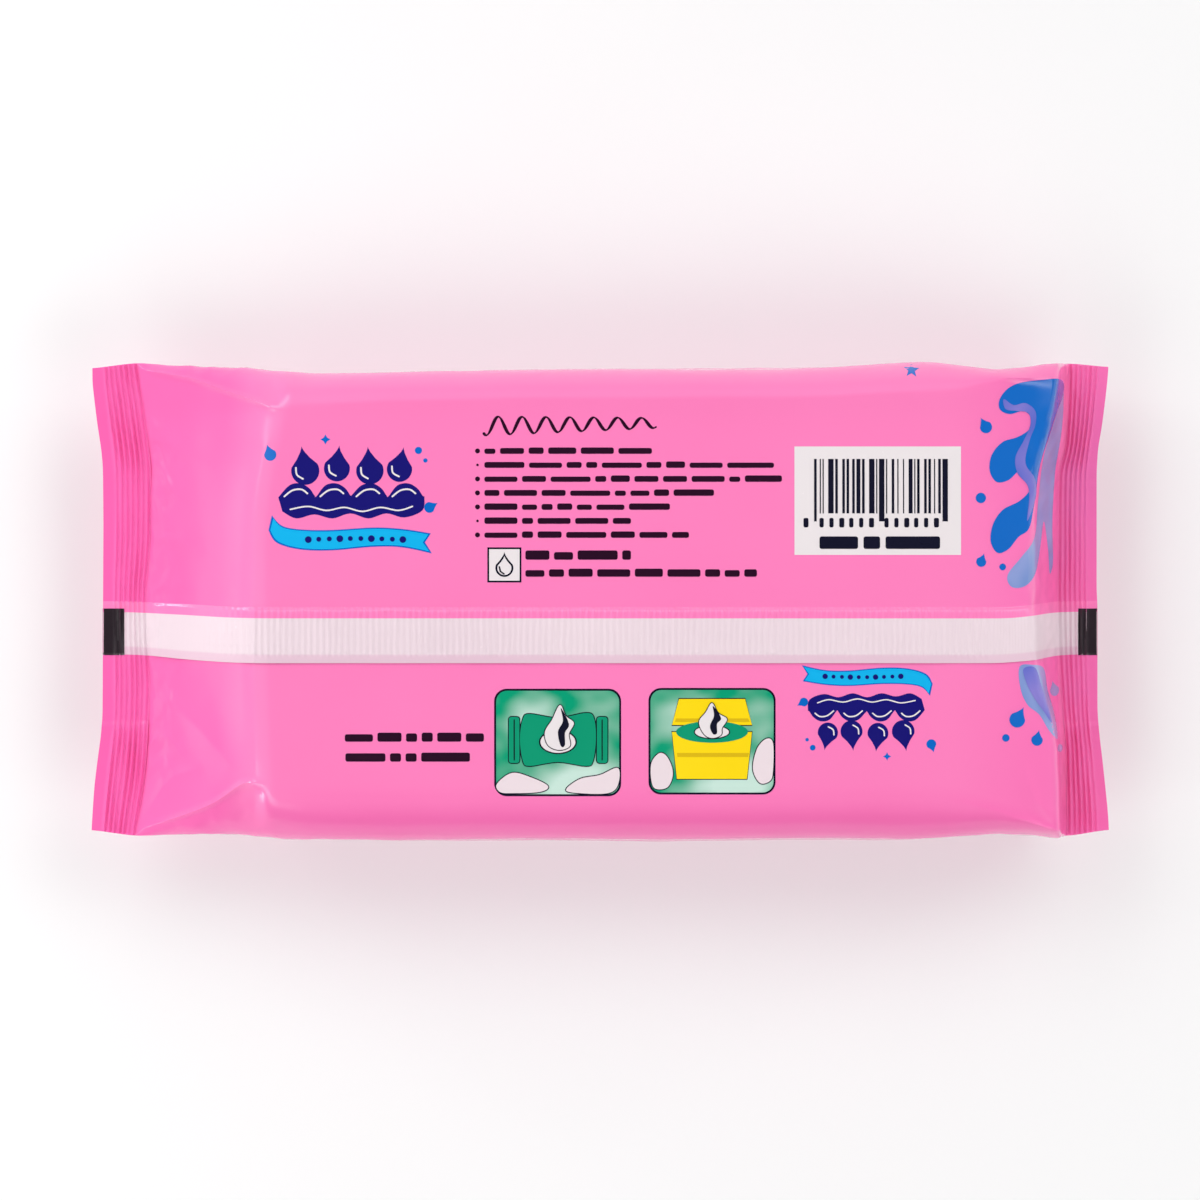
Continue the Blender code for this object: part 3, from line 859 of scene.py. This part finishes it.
def drop(cx, cy, size, turn=0.0, lean=0.0):
    """A falling drop: round below, pointed above; size is its full height."""
    r = size * 0.36
    pts = []
    for a in np.linspace(-0.62 * math.pi, 0.62 * math.pi, 22):
        pts.append((r * math.sin(a) * 1.0, r * math.cos(a)))
    y_tip = -(size - r)
    left = pts[0]
    for t in (0.35, 0.7, 0.9):
        s = 1 - t
        pts.insert(0, (left[0] * s**1.5 + lean * t * t, left[1] + (y_tip - left[1]) * t))
        pts.append((-left[0] * s**1.5 + lean * t * t, left[1] + (y_tip - left[1]) * t))
    pts.append((lean, y_tip))
    c, s = math.cos(math.radians(turn)), math.sin(math.radians(turn))
    shift = size / 2 - r
    return [(cx + u * c - (v + shift) * s, cy + u * s + (v + shift) * c) for u, v in pts]


def star(cx, cy, r, turn=0.0, inner=0.42, arms=5):
    out = []
    for i in range(2 * arms):
        a = math.radians(turn - 90 + i * 180 / arms)
        q = r if i % 2 == 0 else r * inner
        out.append((cx + q * math.cos(a), cy + q * math.sin(a)))
    return out


def moved(shape, cx, cy, scale=1.0, turn=0.0):
    """A shape drawn round 0, 0 put at (cx, cy)."""
    c, s = math.cos(math.radians(turn)), math.sin(math.radians(turn))
    return [(cx + scale * (u * c - v * s), cy + scale * (u * s + v * c)) for u, v in shape]


def dedupe(loop):
    out = []
    for q in loop:
        if not out or math.hypot(q[0] - out[-1][0], q[1] - out[-1][1]) > 1e-4:
            out.append(q)
    if math.hypot(out[0][0] - out[-1][0], out[0][1] - out[-1][1]) < 1e-4:
        out.pop()
    return out


def ink(name, material, shapes, layer=0, step=1.6, shade=None, scale=PX, proud=0.0):
    """Shapes of one ink.  Each is a loop of pixels, or a list of loops of which the later ones are holes."""
    bm = bmesh.new()
    for shape in shapes:
        loops = shape if isinstance(shape[0][0], (list, tuple)) else [shape]
        loops = [[at(*q, scale) for q in dedupe(loop)] for loop in loops]
        verts = [bm.verts.new((q[0], q[1], 0.0)) for loop in loops for q in loop]
        for t in tessellate_polygon([[Vector((q[0], q[1], 0.0)) for q in loop] for loop in loops]):
            try:
                bm.faces.new([verts[i] for i in t])
            except ValueError:
                pass
    xs = [v.co.x for v in bm.verts]
    ys = [v.co.y for v in bm.verts]
    for low, high, axis in ((min(xs), max(xs), 0), (min(ys), max(ys), 1)):
        for k in range(int(math.floor(low / step)) + 1, int(math.ceil(high / step))):
            co, no = [0.0, 0.0, 0.0], [0.0, 0.0, 0.0]
            co[axis], no[axis] = k * step + 0.013, 1.0
            bmesh.ops.bisect_plane(bm, geom=bm.verts[:] + bm.edges[:] + bm.faces[:], dist=1e-6, plane_co=co, plane_no=no)
    bm.faces.ensure_lookup_table()
    for face in bm.faces:
        if face.normal.z < 0:
            face.normal_flip()
    bm.normal_update()
    bad = [f for f in bm.faces if f.calc_area() < 1e-9]
    if bad:
        bmesh.ops.dissolve_degenerate(bm, dist=1e-5, edges=bm.edges[:])
    verts = list(bm.verts)
    flat = np.array([(v.co.x, v.co.y) for v in verts])
    base = drop_onto(surface, flat[:, 0], flat[:, 1])
    lift = 0.045 + 0.035 * layer + proud
    index = {v: i for i, v in enumerate(verts)}
    n = len(verts)
    points = np.concatenate([np.column_stack([flat, base + lift]), np.column_stack([flat, base - 0.05])])
    faces = []
    for f in bm.faces:
        ring = [index[v] for v in f.verts]
        if f.normal.z < 0:
            ring = ring[::-1]
        faces.append(ring)
        faces.append([n + i for i in ring[::-1]])
    for e in bm.edges:
        if len(e.link_faces) == 1:
            loop = [x for x in e.link_faces[0].loops if x.edge == e][0]
            a, b = index[loop.vert], index[loop.link_loop_next.vert]
            if e.link_faces[0].normal.z < 0:
                a, b = b, a
            faces.append([b, a, n + a, n + b])
    bm.free()
    mesh = bpy.data.meshes.new(name)
    mesh.from_pydata([tuple(p) for p in (points * MM).tolist()], [], faces)
    mesh.validate()
    mesh.shade_smooth()
    mesh.set_sharp_from_angle(angle=math.radians(40))
    mesh.materials.append(material)
    if shade is not None:
        layer_data = mesh.attributes.new("shade", "FLOAT", "POINT")
        layer_data.data.foreach_set("value", np.tile(shade(flat[:, 0], flat[:, 1]), 2).astype(np.float32))
    obj = bpy.data.objects.new(name, mesh)
    bpy.context.scene.collection.objects.link(obj)
    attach(obj, "root")
    return obj


def shaded_ink(name, colour, other, roughness=0.14):
    """An ink that runs from one colour to another by the mesh's shade attribute."""
    material = film_material(name, colour, colour, roughness)
    tree = material.node_tree
    shader = tree.nodes["Principled BSDF"]
    attribute = tree.nodes.new("ShaderNodeAttribute")
    attribute.attribute_name = "shade"
    mix = tree.nodes.new("ShaderNodeMix")
    mix.data_type = "RGBA"
    mix.inputs["A"].default_value = (*colour, 1.0)
    mix.inputs["B"].default_value = (*other, 1.0)
    tree.links.new(attribute.outputs["Fac"], mix.inputs["Factor"])
    tree.links.new(mix.outputs["Result"], shader.inputs["Base Color"])
    return material


navy = film_material("ink_navy", (0.010, 0.008, 0.155), (0.014, 0.012, 0.19))
blue = film_material("ink_blue", (0.004, 0.13, 0.52), (0.006, 0.17, 0.60))
cyan = film_material("ink_cyan", (0.008, 0.43, 0.80), (0.012, 0.47, 0.84))
text_black = film_material("ink_text", (0.022, 0.005, 0.018), (0.03, 0.008, 0.024))
line_black = film_material("ink_line", (0.008, 0.008, 0.022), (0.012, 0.012, 0.03))
off_white = film_material("ink_white", (0.80, 0.74, 0.755), (0.76, 0.70, 0.715), 0.26)
skin_white = film_material("ink_pale", (0.82, 0.70, 0.74), (0.80, 0.68, 0.72))
green_pale = shaded_ink("ink_green", (0.004, 0.33, 0.17), (0.62, 0.80, 0.72))
green = film_material("ink_deep_green", (0.006, 0.30, 0.16), (0.008, 0.34, 0.18))
yellow = film_material("ink_yellow", (0.95, 0.68, 0.01), (0.98, 0.74, 0.02))
yellow_dark = film_material("ink_ochre", (0.70, 0.46, 0.01), (0.74, 0.50, 0.01))
lilac = shaded_ink("ink_lilac", (0.10, 0.14, 0.56), (0.24, 0.20, 0.60))
mist = shaded_ink("ink_mist", (0.17, 0.27, 0.58), (0.30, 0.36, 0.66))

# emblem: drops over a wave over a ribbon, drawn round (0, 0) and used twice
DROPS = [(-48, -19, 39, -9), (-15, -21, 36, 6), (17, -19, 38, -5), (48, -20, 35, 11)]
crest = []
for i in range(4):
    x0 = -72 + i * 36
    crest += [(x0, 10 + 2 * (i % 2)), (x0 + 9, 1), (x0 + 20, -1), (x0 + 29, 4), (x0 + 34, 11)]
wave_top = spline([(-74, 13)] + crest[1:] + [(72, 12)], 5, closed=False)
wave_low = spline([(72, 12), (70, 26), (52, 33), (34, 29), (16, 34), (-2, 29), (-20, 34), (-38, 30), (-56, 34), (-70, 27)], 5, closed=False)
emblem_navy = [drop(*d) for d in DROPS] + [wave_top + wave_low[1:]]
emblem_glint = [stroke(spline([(dx - 8.5, dy - 2 + s / 9), (dx - 7.5, dy + s / 4.2), (dx - 1.5, dy + s / 2.9)], 6, False), 1.7)
                for dx, dy, s, _ in DROPS]
emblem_glint += [stroke(spline([(x0 + 4, 12), (x0 + 12, 6), (x0 + 21, 5), (x0 + 27, 9)], 6, False), 1.7)
                 for x0 in (-72, -36, 0, 36)]
emblem_glint += [stroke(spline([(-62, 25), (-44, 22), (-26, 26), (-8, 23), (10, 27), (28, 23), (46, 26), (60, 22)], 6, False), 1.5)]
ribbon_top = [(-79, 34), (-70, 43), (-50, 46.5), (-20, 47), (20, 44.5), (50, 46), (76, 50)]
ribbon_low = [(77, 67), (50, 61.5), (20, 61), (-20, 64.5), (-52, 63.5), (-74, 57), (-82, 46)]
ribbon = spline(ribbon_top, 6, False) + [(70.5, 58)] + spline(ribbon_low, 6, False)
edge_top = [(-80.5, 31), (-70, 41.6), (-50, 45.2), (-20, 45.6), (20, 43.2), (50, 44.6), (78.5, 49)]
edge_low = [(79.5, 69), (50, 62.9), (20, 62.4), (-20, 65.9), (-52, 65), (-75.5, 58.3), (-83.8, 46)]
ribbon_edge = spline(edge_top, 6, False) + [(72.6, 58)] + spline(edge_low, 6, False)
ribbon_dots = [disc(-44 + 10.5 * i, 55.2 - 1.1 * math.sin(i / 9 * 3.1), 2.5 if i % 3 else 3.4, 14) for i in range(10)]
emblem_small = [drop(-83, -32, 17, -18), star(-27, -45, 5, 0, 0.5, 4), drop(79, 22, 15, 62), disc(66, -34, 3.6, 16), disc(73, -24, 2.2, 14)]
SPOTS = ((352.5, 483.5, 1.0, 0.0), (865.5, 719.5, 0.80, 180.0))


def emblem(shapes):
    return [moved(shape, *spot) for spot in SPOTS for shape in shapes]


ink("emblem_navy", navy, emblem(emblem_navy), 0, 1.0)
ink("emblem_glint", off_white, emblem(emblem_glint), 1, 1.0)
ink("ribbon_edge", blue, emblem([ribbon_edge]), 0, 1.0)
ink("ribbon", cyan, emblem([ribbon]), 1, 1.0)
ink("ribbon_dots", navy, emblem(ribbon_dots), 2, 1.2)
ink("emblem_small", blue, emblem(emblem_small) + [star(912.3, 368.5, 8.2, 4, 0.42)], 0, 0.8)

# heading: a pen flourish; body text: a bar for each word
flourish = [(484 + 172 * t, 425 + (9.5 - 4.5 * t) * math.sin(2 * math.pi * (7.2 * t + 0.15)) - 3 * t) for t in np.linspace(0, 1, 140)]
pen = [1.3 + 2.1 * abs(math.sin(2 * math.pi * (7.2 * t + 0.35))) for t in np.linspace(0, 1, 140)]
tail = spline([(655, 417), (668, 421), (681, 416), (690, 421)], 10, False)
words = [stroke(flourish, pen)]


def text_line(x0, x1, y, tall, seed, turned=False, rising=0.0):
    """Bars that fill a line from x0 to x1, as long as words are."""
    pick = np.random.RandomState(seed)
    out, x = [], x0
    while x < x1 - 3:
        wide = pick.choice([11, 15, 19, 24, 28, 33, 40])
        end = min(x + wide, x1)
        if x1 - end < 13:
            end = x1
        up = tall * pick.choice([0.0, 0.12, 0.22])
        out.append(block(x, y - tall / 2 - up, end, y + tall / 2, min(tall * 0.42, 2.0), 4))
        x = end + 4.6
    return out


for i, (y, right) in enumerate(zip((450, 464, 478, 492, 506, 520, 534), (652, 774, 782, 714, 670, 631, 689))):
    words += text_line(484.5, right, y + 0.3, 5.2, 50 + i)
    words.append(disc(477.6, y, 2.5 if i not in (1, 5) else 1.3, 14))
words += text_line(525.5, 631, 555, 7.6, 61) + text_line(525.5, 757, 572.5, 6.6, 62)
words += text_line(345, 484, 737, 7.4, 63) + text_line(345.5, 470, 757, 7.4, 65)
ink("text_bars", text_black, words, 0, 2.0)

# small square with a drop in it
ink("square_edge", line_black, [[block(487.5, 546.5, 521.5, 581.5), block(489.3, 548.3, 519.7, 579.7)[::-1]]], 0, 2.0)
ink("square_field", off_white, [block(489.3, 548.3, 519.7, 579.7)], 0, 2.0)
square = [[drop(504.5, 563.5, 25), drop(504.5, 564.4, 19.5)[::-1]], stroke([(499.5, 566), (500.5, 570.5), (504, 573)], 1.6)]
ink("square_drop", line_black, square, 1, 2.0)

# bar panel
ink("bar_panel", off_white, [block(794.5, 445.5, 961, 554)], 0, 2.0)
bars = []
pick = np.random.RandomState(23)
x = 814.0
unit = 134.0 / 95
module = 0
runs = []
while module < 95:
    runs.append((module, int(pick.choice([1, 1, 2, 2, 3, 4]))))
    module += runs[-1][1] + int(pick.choice([1, 1, 2, 3]))
for start, wide in runs:
    if start + wide > 95:
        wide = 95 - start
    long = start < 3 or 45 <= start <= 49 or start + wide > 92
    bars.append(block(x + start * unit + 0.12, 458, x + (start + wide) * unit - 0.12, 520.5 if long else 512.5))
for i in range(13):
    dx = 803.5 if i == 0 else 819.5 + (i - 1) * 9.9 + (5.5 if i > 6 else 0)
    bars.append(block(dx, 517.0, dx + (4.2 if i % 3 else 5.0), 526.5, 1.6, 4))
bars += [block(a, 535.5, b, 548.0, 2.2, 4) for a, b in ((819.5, 858), (863.5, 880), (885.5, 940))]
ink("bar_marks", line_black, bars, 1, 4.0)

# two picture panels: a soft pack with its opening, and a box of wipes
PANELS = ((494.3, 687.8, 621.2, 795.3), (648.6, 687.0, 775.6, 793.6))
ink("panel_edge", line_black, [[block(*p, 12.5, 8), block(p[0] + 2, p[1] + 2, p[2] - 2, p[3] - 2, 10.8, 8)[::-1]] for p in PANELS], 0, 1.6)
clouds = []
for (x0, y0, x1, y1), seed in zip(PANELS, (0, 1)):
    cx, cy = at((x0 + x1) / 2, (y0 + y1) / 2)
    clouds.append((cx, cy, seed))


def cloud_shade(x, y):
    out = np.zeros(len(x))
    for cx, cy, seed in clouds:
        u, v = x - cx, y - cy
        near = (np.abs(u) < 16) & (np.abs(v) < 14)
        k = 0.9 * np.exp(-((u + 6) ** 2 / 40 + (v - 5) ** 2 / 26)) + 0.95 * np.exp(-((u - 7) ** 2 / 60 + (v + 8) ** 2 / 22))
        k += 0.8 * np.exp(-((u + 1 - 4 * seed) ** 2 / 90 + (v + 11) ** 2 / 14)) + 0.35 * np.exp(-((u - 11) ** 2 / 20 + (v - 6) ** 2 / 40))
        k += 0.35 * noise(x / 5, y / 4, 51 + seed)
        out = np.where(near, k, out)
    return np.clip(out * 0.95, 0.0, 0.92)


ink("panel_field", green_pale, [block(p[0] + 2, p[1] + 2, p[2] - 2, p[3] - 2, 10.8, 8) for p in PANELS], 0, 0.8, shade=cloud_shade)


def outlined(loops, grow):
    """Each loop grown by grow px about its own middle, for the dark line round it."""
    out = []
    for loop in loops:
        p = np.array(loop, float)
        d = np.roll(p, -1, axis=0) - np.roll(p, 1, axis=0)
        d /= np.maximum(np.linalg.norm(d, axis=1, keepdims=True), 1e-9)
        n = np.stack([d[:, 1], -d[:, 0]], axis=1)
        area = 0.5 * np.sum(p[:, 0] * np.roll(p[:, 1], -1) - np.roll(p[:, 0], -1) * p[:, 1])
        out.append([tuple(q) for q in p + n * grow * (1 if area > 0 else -1)])
    return out


pack_a = spline([(523, 718), (530, 713), (558, 717), (586, 712), (594, 717), (596, 738), (593, 760), (586, 765), (558, 761), (530, 765), (523, 760), (520, 738)], 5)
flap_a = [block(509, 716, 519.5, 762, 2.5, 3), block(597, 716, 607.5, 762, 2.5, 3)]
mouth_a = disc(558, 741, 17.5, 30, 0.62)
tissue_a = spline([(548, 744), (545, 731), (552, 719), (560, 704), (566, 715), (574, 722), (569, 733), (570, 745), (559, 749)], 6)
fold_a = spline([(561, 707), (563, 720), (558, 731), (561, 745), (565, 744), (565, 732), (569, 723)], 5)
wave_a = [spline([(497, 783), (512, 772), (530, 776), (548, 785), (540, 791), (512, 792.3), (500, 791)], 6),
          spline([(566, 789), (580, 778), (600, 774), (618, 767), (618, 784), (608, 792.3), (580, 792.3)], 6)]
tub_b = [(672, 731), (752, 731), (747, 778), (677, 778)]
lid_b = [(679, 698), (745, 698), (752, 724), (672, 724)]
inner_b = disc(712, 731, 36, 34, 0.30)
mouth_b = disc(712, 731, 17, 28, 0.36)
tissue_b = spline([(704, 733), (699, 721), (706, 711), (712, 702), (718, 712), (727, 718), (722, 727), (721, 734), (712, 737)], 6)
fold_b = spline([(713, 705), (714, 715), (710, 725), (713, 733), (717, 732), (717, 723), (721, 717)], 5)
wave_b = [spline([(651.5, 762), (660, 752), (668, 757), (673, 772), (668, 786), (656, 788), (651.5, 780)], 6),
          spline([(773, 742), (766, 738), (757, 748), (753, 768), (760, 782), (770, 780), (773, 770)], 6)]
ink("picture_lines", line_black, outlined([pack_a] + flap_a + wave_a + [tub_b, lid_b] + wave_b, 1.0), 1, 1.6)
ink("picture_pale", skin_white, wave_a + wave_b, 2, 1.6)
ink("picture_green", green, [pack_a] + flap_a, 2, 1.6)
ink("picture_yellow", yellow, [tub_b, lid_b], 2, 1.6)
ink("picture_ochre", yellow_dark, [[(677, 752), (749, 752), (748, 756), (677.5, 756)], [(676, 717.5), (748, 717.5), (750, 721), (675, 721)]], 3, 1.6)
ink("picture_inner", green, [inner_b], 3, 1.6)
ink("picture_lines_2", line_black, [disc(558, 741, 19, 30, 0.64)] + [disc(712, 731, 18.2, 28, 0.40)]
    + [stroke([(514.3, 719), (514.3, 759)], 1.1), stroke([(602.2, 719), (602.2, 759)], 1.1)], 4, 1.6)
ink("picture_white", off_white, [mouth_a, mouth_b], 5, 1.6)
ink("picture_lines_3", line_black, outlined([tissue_a, tissue_b], 0.9), 6, 1.6)
ink("picture_tissue", off_white, [tissue_a, tissue_b], 7, 1.6)
ink("picture_fold", line_black, [fold_a, fold_b], 8, 1.6)

# blue artwork round the end close to the stack: rolling waves with drops
ink("wave_blue", blue, [
    spline([(1068, 381), (1040, 379), (1014, 384), (1001, 396), (1000, 408), (1010, 413), (1024, 410), (1032, 417), (1030, 428), (1018, 436), (1003, 441),
            (992, 454), (990, 470), (997, 481), (1009, 479), (1020, 470), (1030, 474), (1031, 488), (1020, 500), (1003, 509), (993, 524), (991, 541),
            (998, 552), (1009, 548), (1019, 536), (1030, 527), (1036, 500), (1042, 462), (1056, 420)], 6),
    drop(985, 424, 17, -30), disc(981, 497, 5.2, 20), drop(982, 559, 14, 20), disc(1003, 566, 3.4, 16),
    drop(1019, 716, 22, 28), drop(1038, 737, 16, 12), disc(1006, 737, 3.8, 16),
], 0, 0.28, proud=0.05)
ink("wave_mist", mist, [
    spline([(1066, 384), (1059, 412), (1046, 452), (1040, 498), (1036, 536), (1022, 556), (1008, 574), (1012, 586), (1026, 585), (1037, 572), (1043, 545),
            (1047, 520), (1052, 548), (1054, 572), (1058, 560), (1057, 520), (1060, 470), (1066, 430), (1068, 400)], 6),
    spline([(1020, 666), (1034, 664), (1046, 668), (1050, 690), (1057, 712), (1060, 738), (1050, 730), (1040, 714), (1028, 704), (1021, 688)], 6),
    disc(1063, 748, 4.0, 16), drop(1058, 688, 16, -14),
], 0, 0.28, shade=lambda x, y: np.clip(0.5 + 1.2 * noise(x / 4, y / 9, 61), 0, 1), proud=0.03)
ink("wave_lilac", lilac, [
    spline([(1004, 398), (1014, 404), (1026, 402), (1036, 410), (1036, 424), (1030, 440), (1026, 462), (1036, 478), (1037, 496), (1028, 520),
            (1030, 498), (1028, 484), (1018, 472), (1016, 456), (1024, 440), (1031, 424), (1029, 412), (1018, 410), (1006, 408)], 6),
    spline([(1024, 668), (1036, 667), (1042, 684), (1048, 702), (1053, 722), (1044, 710), (1034, 696), (1027, 682)], 6),
], 2, 0.28, shade=lambda x, y: np.clip(0.5 + 1.0 * noise(x / 5, y / 9, 62), 0, 1), proud=0.06)

# black marks for the cutter, on the fin at both ends
ink("cut_marks", ink_black, [
    block(102.8, 607.6, 124.6, 654.2), block(1078.2, 607.6, 1097.2, 654.2),
], 1, 0.30, scale=PX_SEAL)

# ---------------------------------------------------------------------------
# label on the front
# ---------------------------------------------------------------------------
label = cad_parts["reseal_label"]
label_film = film_material("label_film", (0.84, 0.72, 0.78), (0.80, 0.67, 0.74), 0.32, grain=0.10, bump_strength=0.06)
for place_of in label.material_slots:
    place_of.material = label_film

# ---------------------------------------------------------------------------
# stage
# ---------------------------------------------------------------------------
floor_mesh = bpy.data.meshes.new("floor")
floor_mesh.from_pydata([(-40, -40, -0.0003), (40, -40, -0.0003), (40, 40, -0.0003), (-40, 40, -0.0003)], [], [(0, 1, 2, 3)])
floor = bpy.data.objects.new("floor", floor_mesh)
bpy.context.scene.collection.objects.link(floor)
floor_material, _, floor_shader = principled("floor_pale", (0.62, 0.62, 0.62), 0.9)
floor_shader.inputs["Emission Color"].default_value = (1.0, 1.0, 1.0, 1.0)
floor_shader.inputs["Emission Strength"].default_value = 0.27
floor_shader.inputs["Specular IOR Level"].default_value = 0.1
floor_mesh.materials.append(floor_material)

world = bpy.data.worlds.new("studio")
bpy.context.scene.world = world
world.use_nodes = True
sky = world.node_tree
place = sky.nodes.new("ShaderNodeTexCoord")
axes = sky.nodes.new("ShaderNodeSeparateXYZ")
sky.links.new(place.outputs["Generated"], axes.inputs["Vector"])


def step_between(socket, low, high, start, end):
    """A smooth step of a world direction's coordinate, from start at low to end at high."""
    node = sky.nodes.new("ShaderNodeMapRange")
    node.interpolation_type = "SMOOTHSTEP"
    for key, value in (("From Min", low), ("From Max", high), ("To Min", start), ("To Max", end)):
        node.inputs[key].default_value = value
    sky.links.new(socket, node.inputs["Value"])
    return node.outputs["Result"]


def combine(operation, first, second):
    node = sky.nodes.new("ShaderNodeMath")
    node.operation = operation
    sky.links.new(first, node.inputs[0])
    sky.links.new(second, node.inputs[1])
    return node.outputs["Value"]


# a tent of light: bright lobes high up at the four diagonals, little between them and dark round the lens
up, across, aside = axes.outputs["Z"], axes.outputs["Y"], axes.outputs["X"]
window = combine("MULTIPLY", step_between(up, 0.45, 0.70, 0.0, 1.0), step_between(up, 0.925, 0.985, 1.0, 0.0))
sides = combine("ADD", step_between(aside, -0.50, 0.50, 0.62, 0.12), step_between(across, -0.10, 0.60, 0.0, 0.30))
crossed = combine("ABSOLUTE", combine("MULTIPLY", aside, across), aside)
lobes = combine("MULTIPLY", step_between(crossed, 0.08, 0.22, 0.0, 3.6), step_between(aside, -0.5, 0.5, 0.80, 1.04))
ring = combine("MULTIPLY", window, combine("ADD", sides, lobes))
low_wall = combine("ADD", step_between(across, -0.60, 0.80, 0.16, 0.50), step_between(up, 0.0, 0.22, 0.34, 0.0))
low_wall = combine("MULTIPLY", low_wall, step_between(up, 0.45, 0.70, 1.0, 0.0))
glow = combine("ADD", ring, low_wall)
sky.links.new(glow, sky.nodes["Background"].inputs["Strength"])
sky.nodes["Background"].inputs["Color"].default_value = (1.0, 1.0, 1.0, 1.0)


def softbox(name, where, target, wide, high, glow):
    """A rectangular light; glow is how bright its face is, the tent's walls being about a half."""
    light = bpy.data.lights.new(name, "AREA")
    light.shape = "RECTANGLE"
    light.size, light.size_y = wide, high
    light.energy = glow * math.pi * wide * high
    obj = bpy.data.objects.new(name, light)
    obj.location = where
    obj.rotation_euler = (Vector(target) - Vector(where)).to_track_quat("-Z", "Y").to_euler()
    obj.visible_camera = False
    bpy.context.scene.collection.objects.link(obj)
    return obj


MIDDLE = (0, 0, 0.03)
softbox("left_far", (-0.385, 0.215, 0.100), (-0.085, 0.045, 0.04), 0.040, 0.19, 15.0)
softbox("left_near", (-0.385, -0.215, 0.100), (-0.085, -0.045, 0.04), 0.040, 0.19, 13.0)
softbox("right_far", (1.386, 0.80, 0.30), MIDDLE, 0.22, 0.50, 5.5)
softbox("right_near", (1.386, -0.80, 0.30), MIDDLE, 0.22, 0.50, 5.0)

camera_data = bpy.data.cameras.new("camera")
camera_data.sensor_width = 36.0
camera_data.lens = 36.0 * 2016.0 / (1200 / PX_SEAL)
camera_data.clip_end = 50
camera = bpy.data.objects.new("camera", camera_data)
camera.location = (-0.0001, 0.0001, (MID + 2016.0) * MM)
bpy.context.scene.collection.objects.link(camera)
bpy.context.scene.camera = camera
bpy.context.scene.view_settings.view_transform = "Standard"
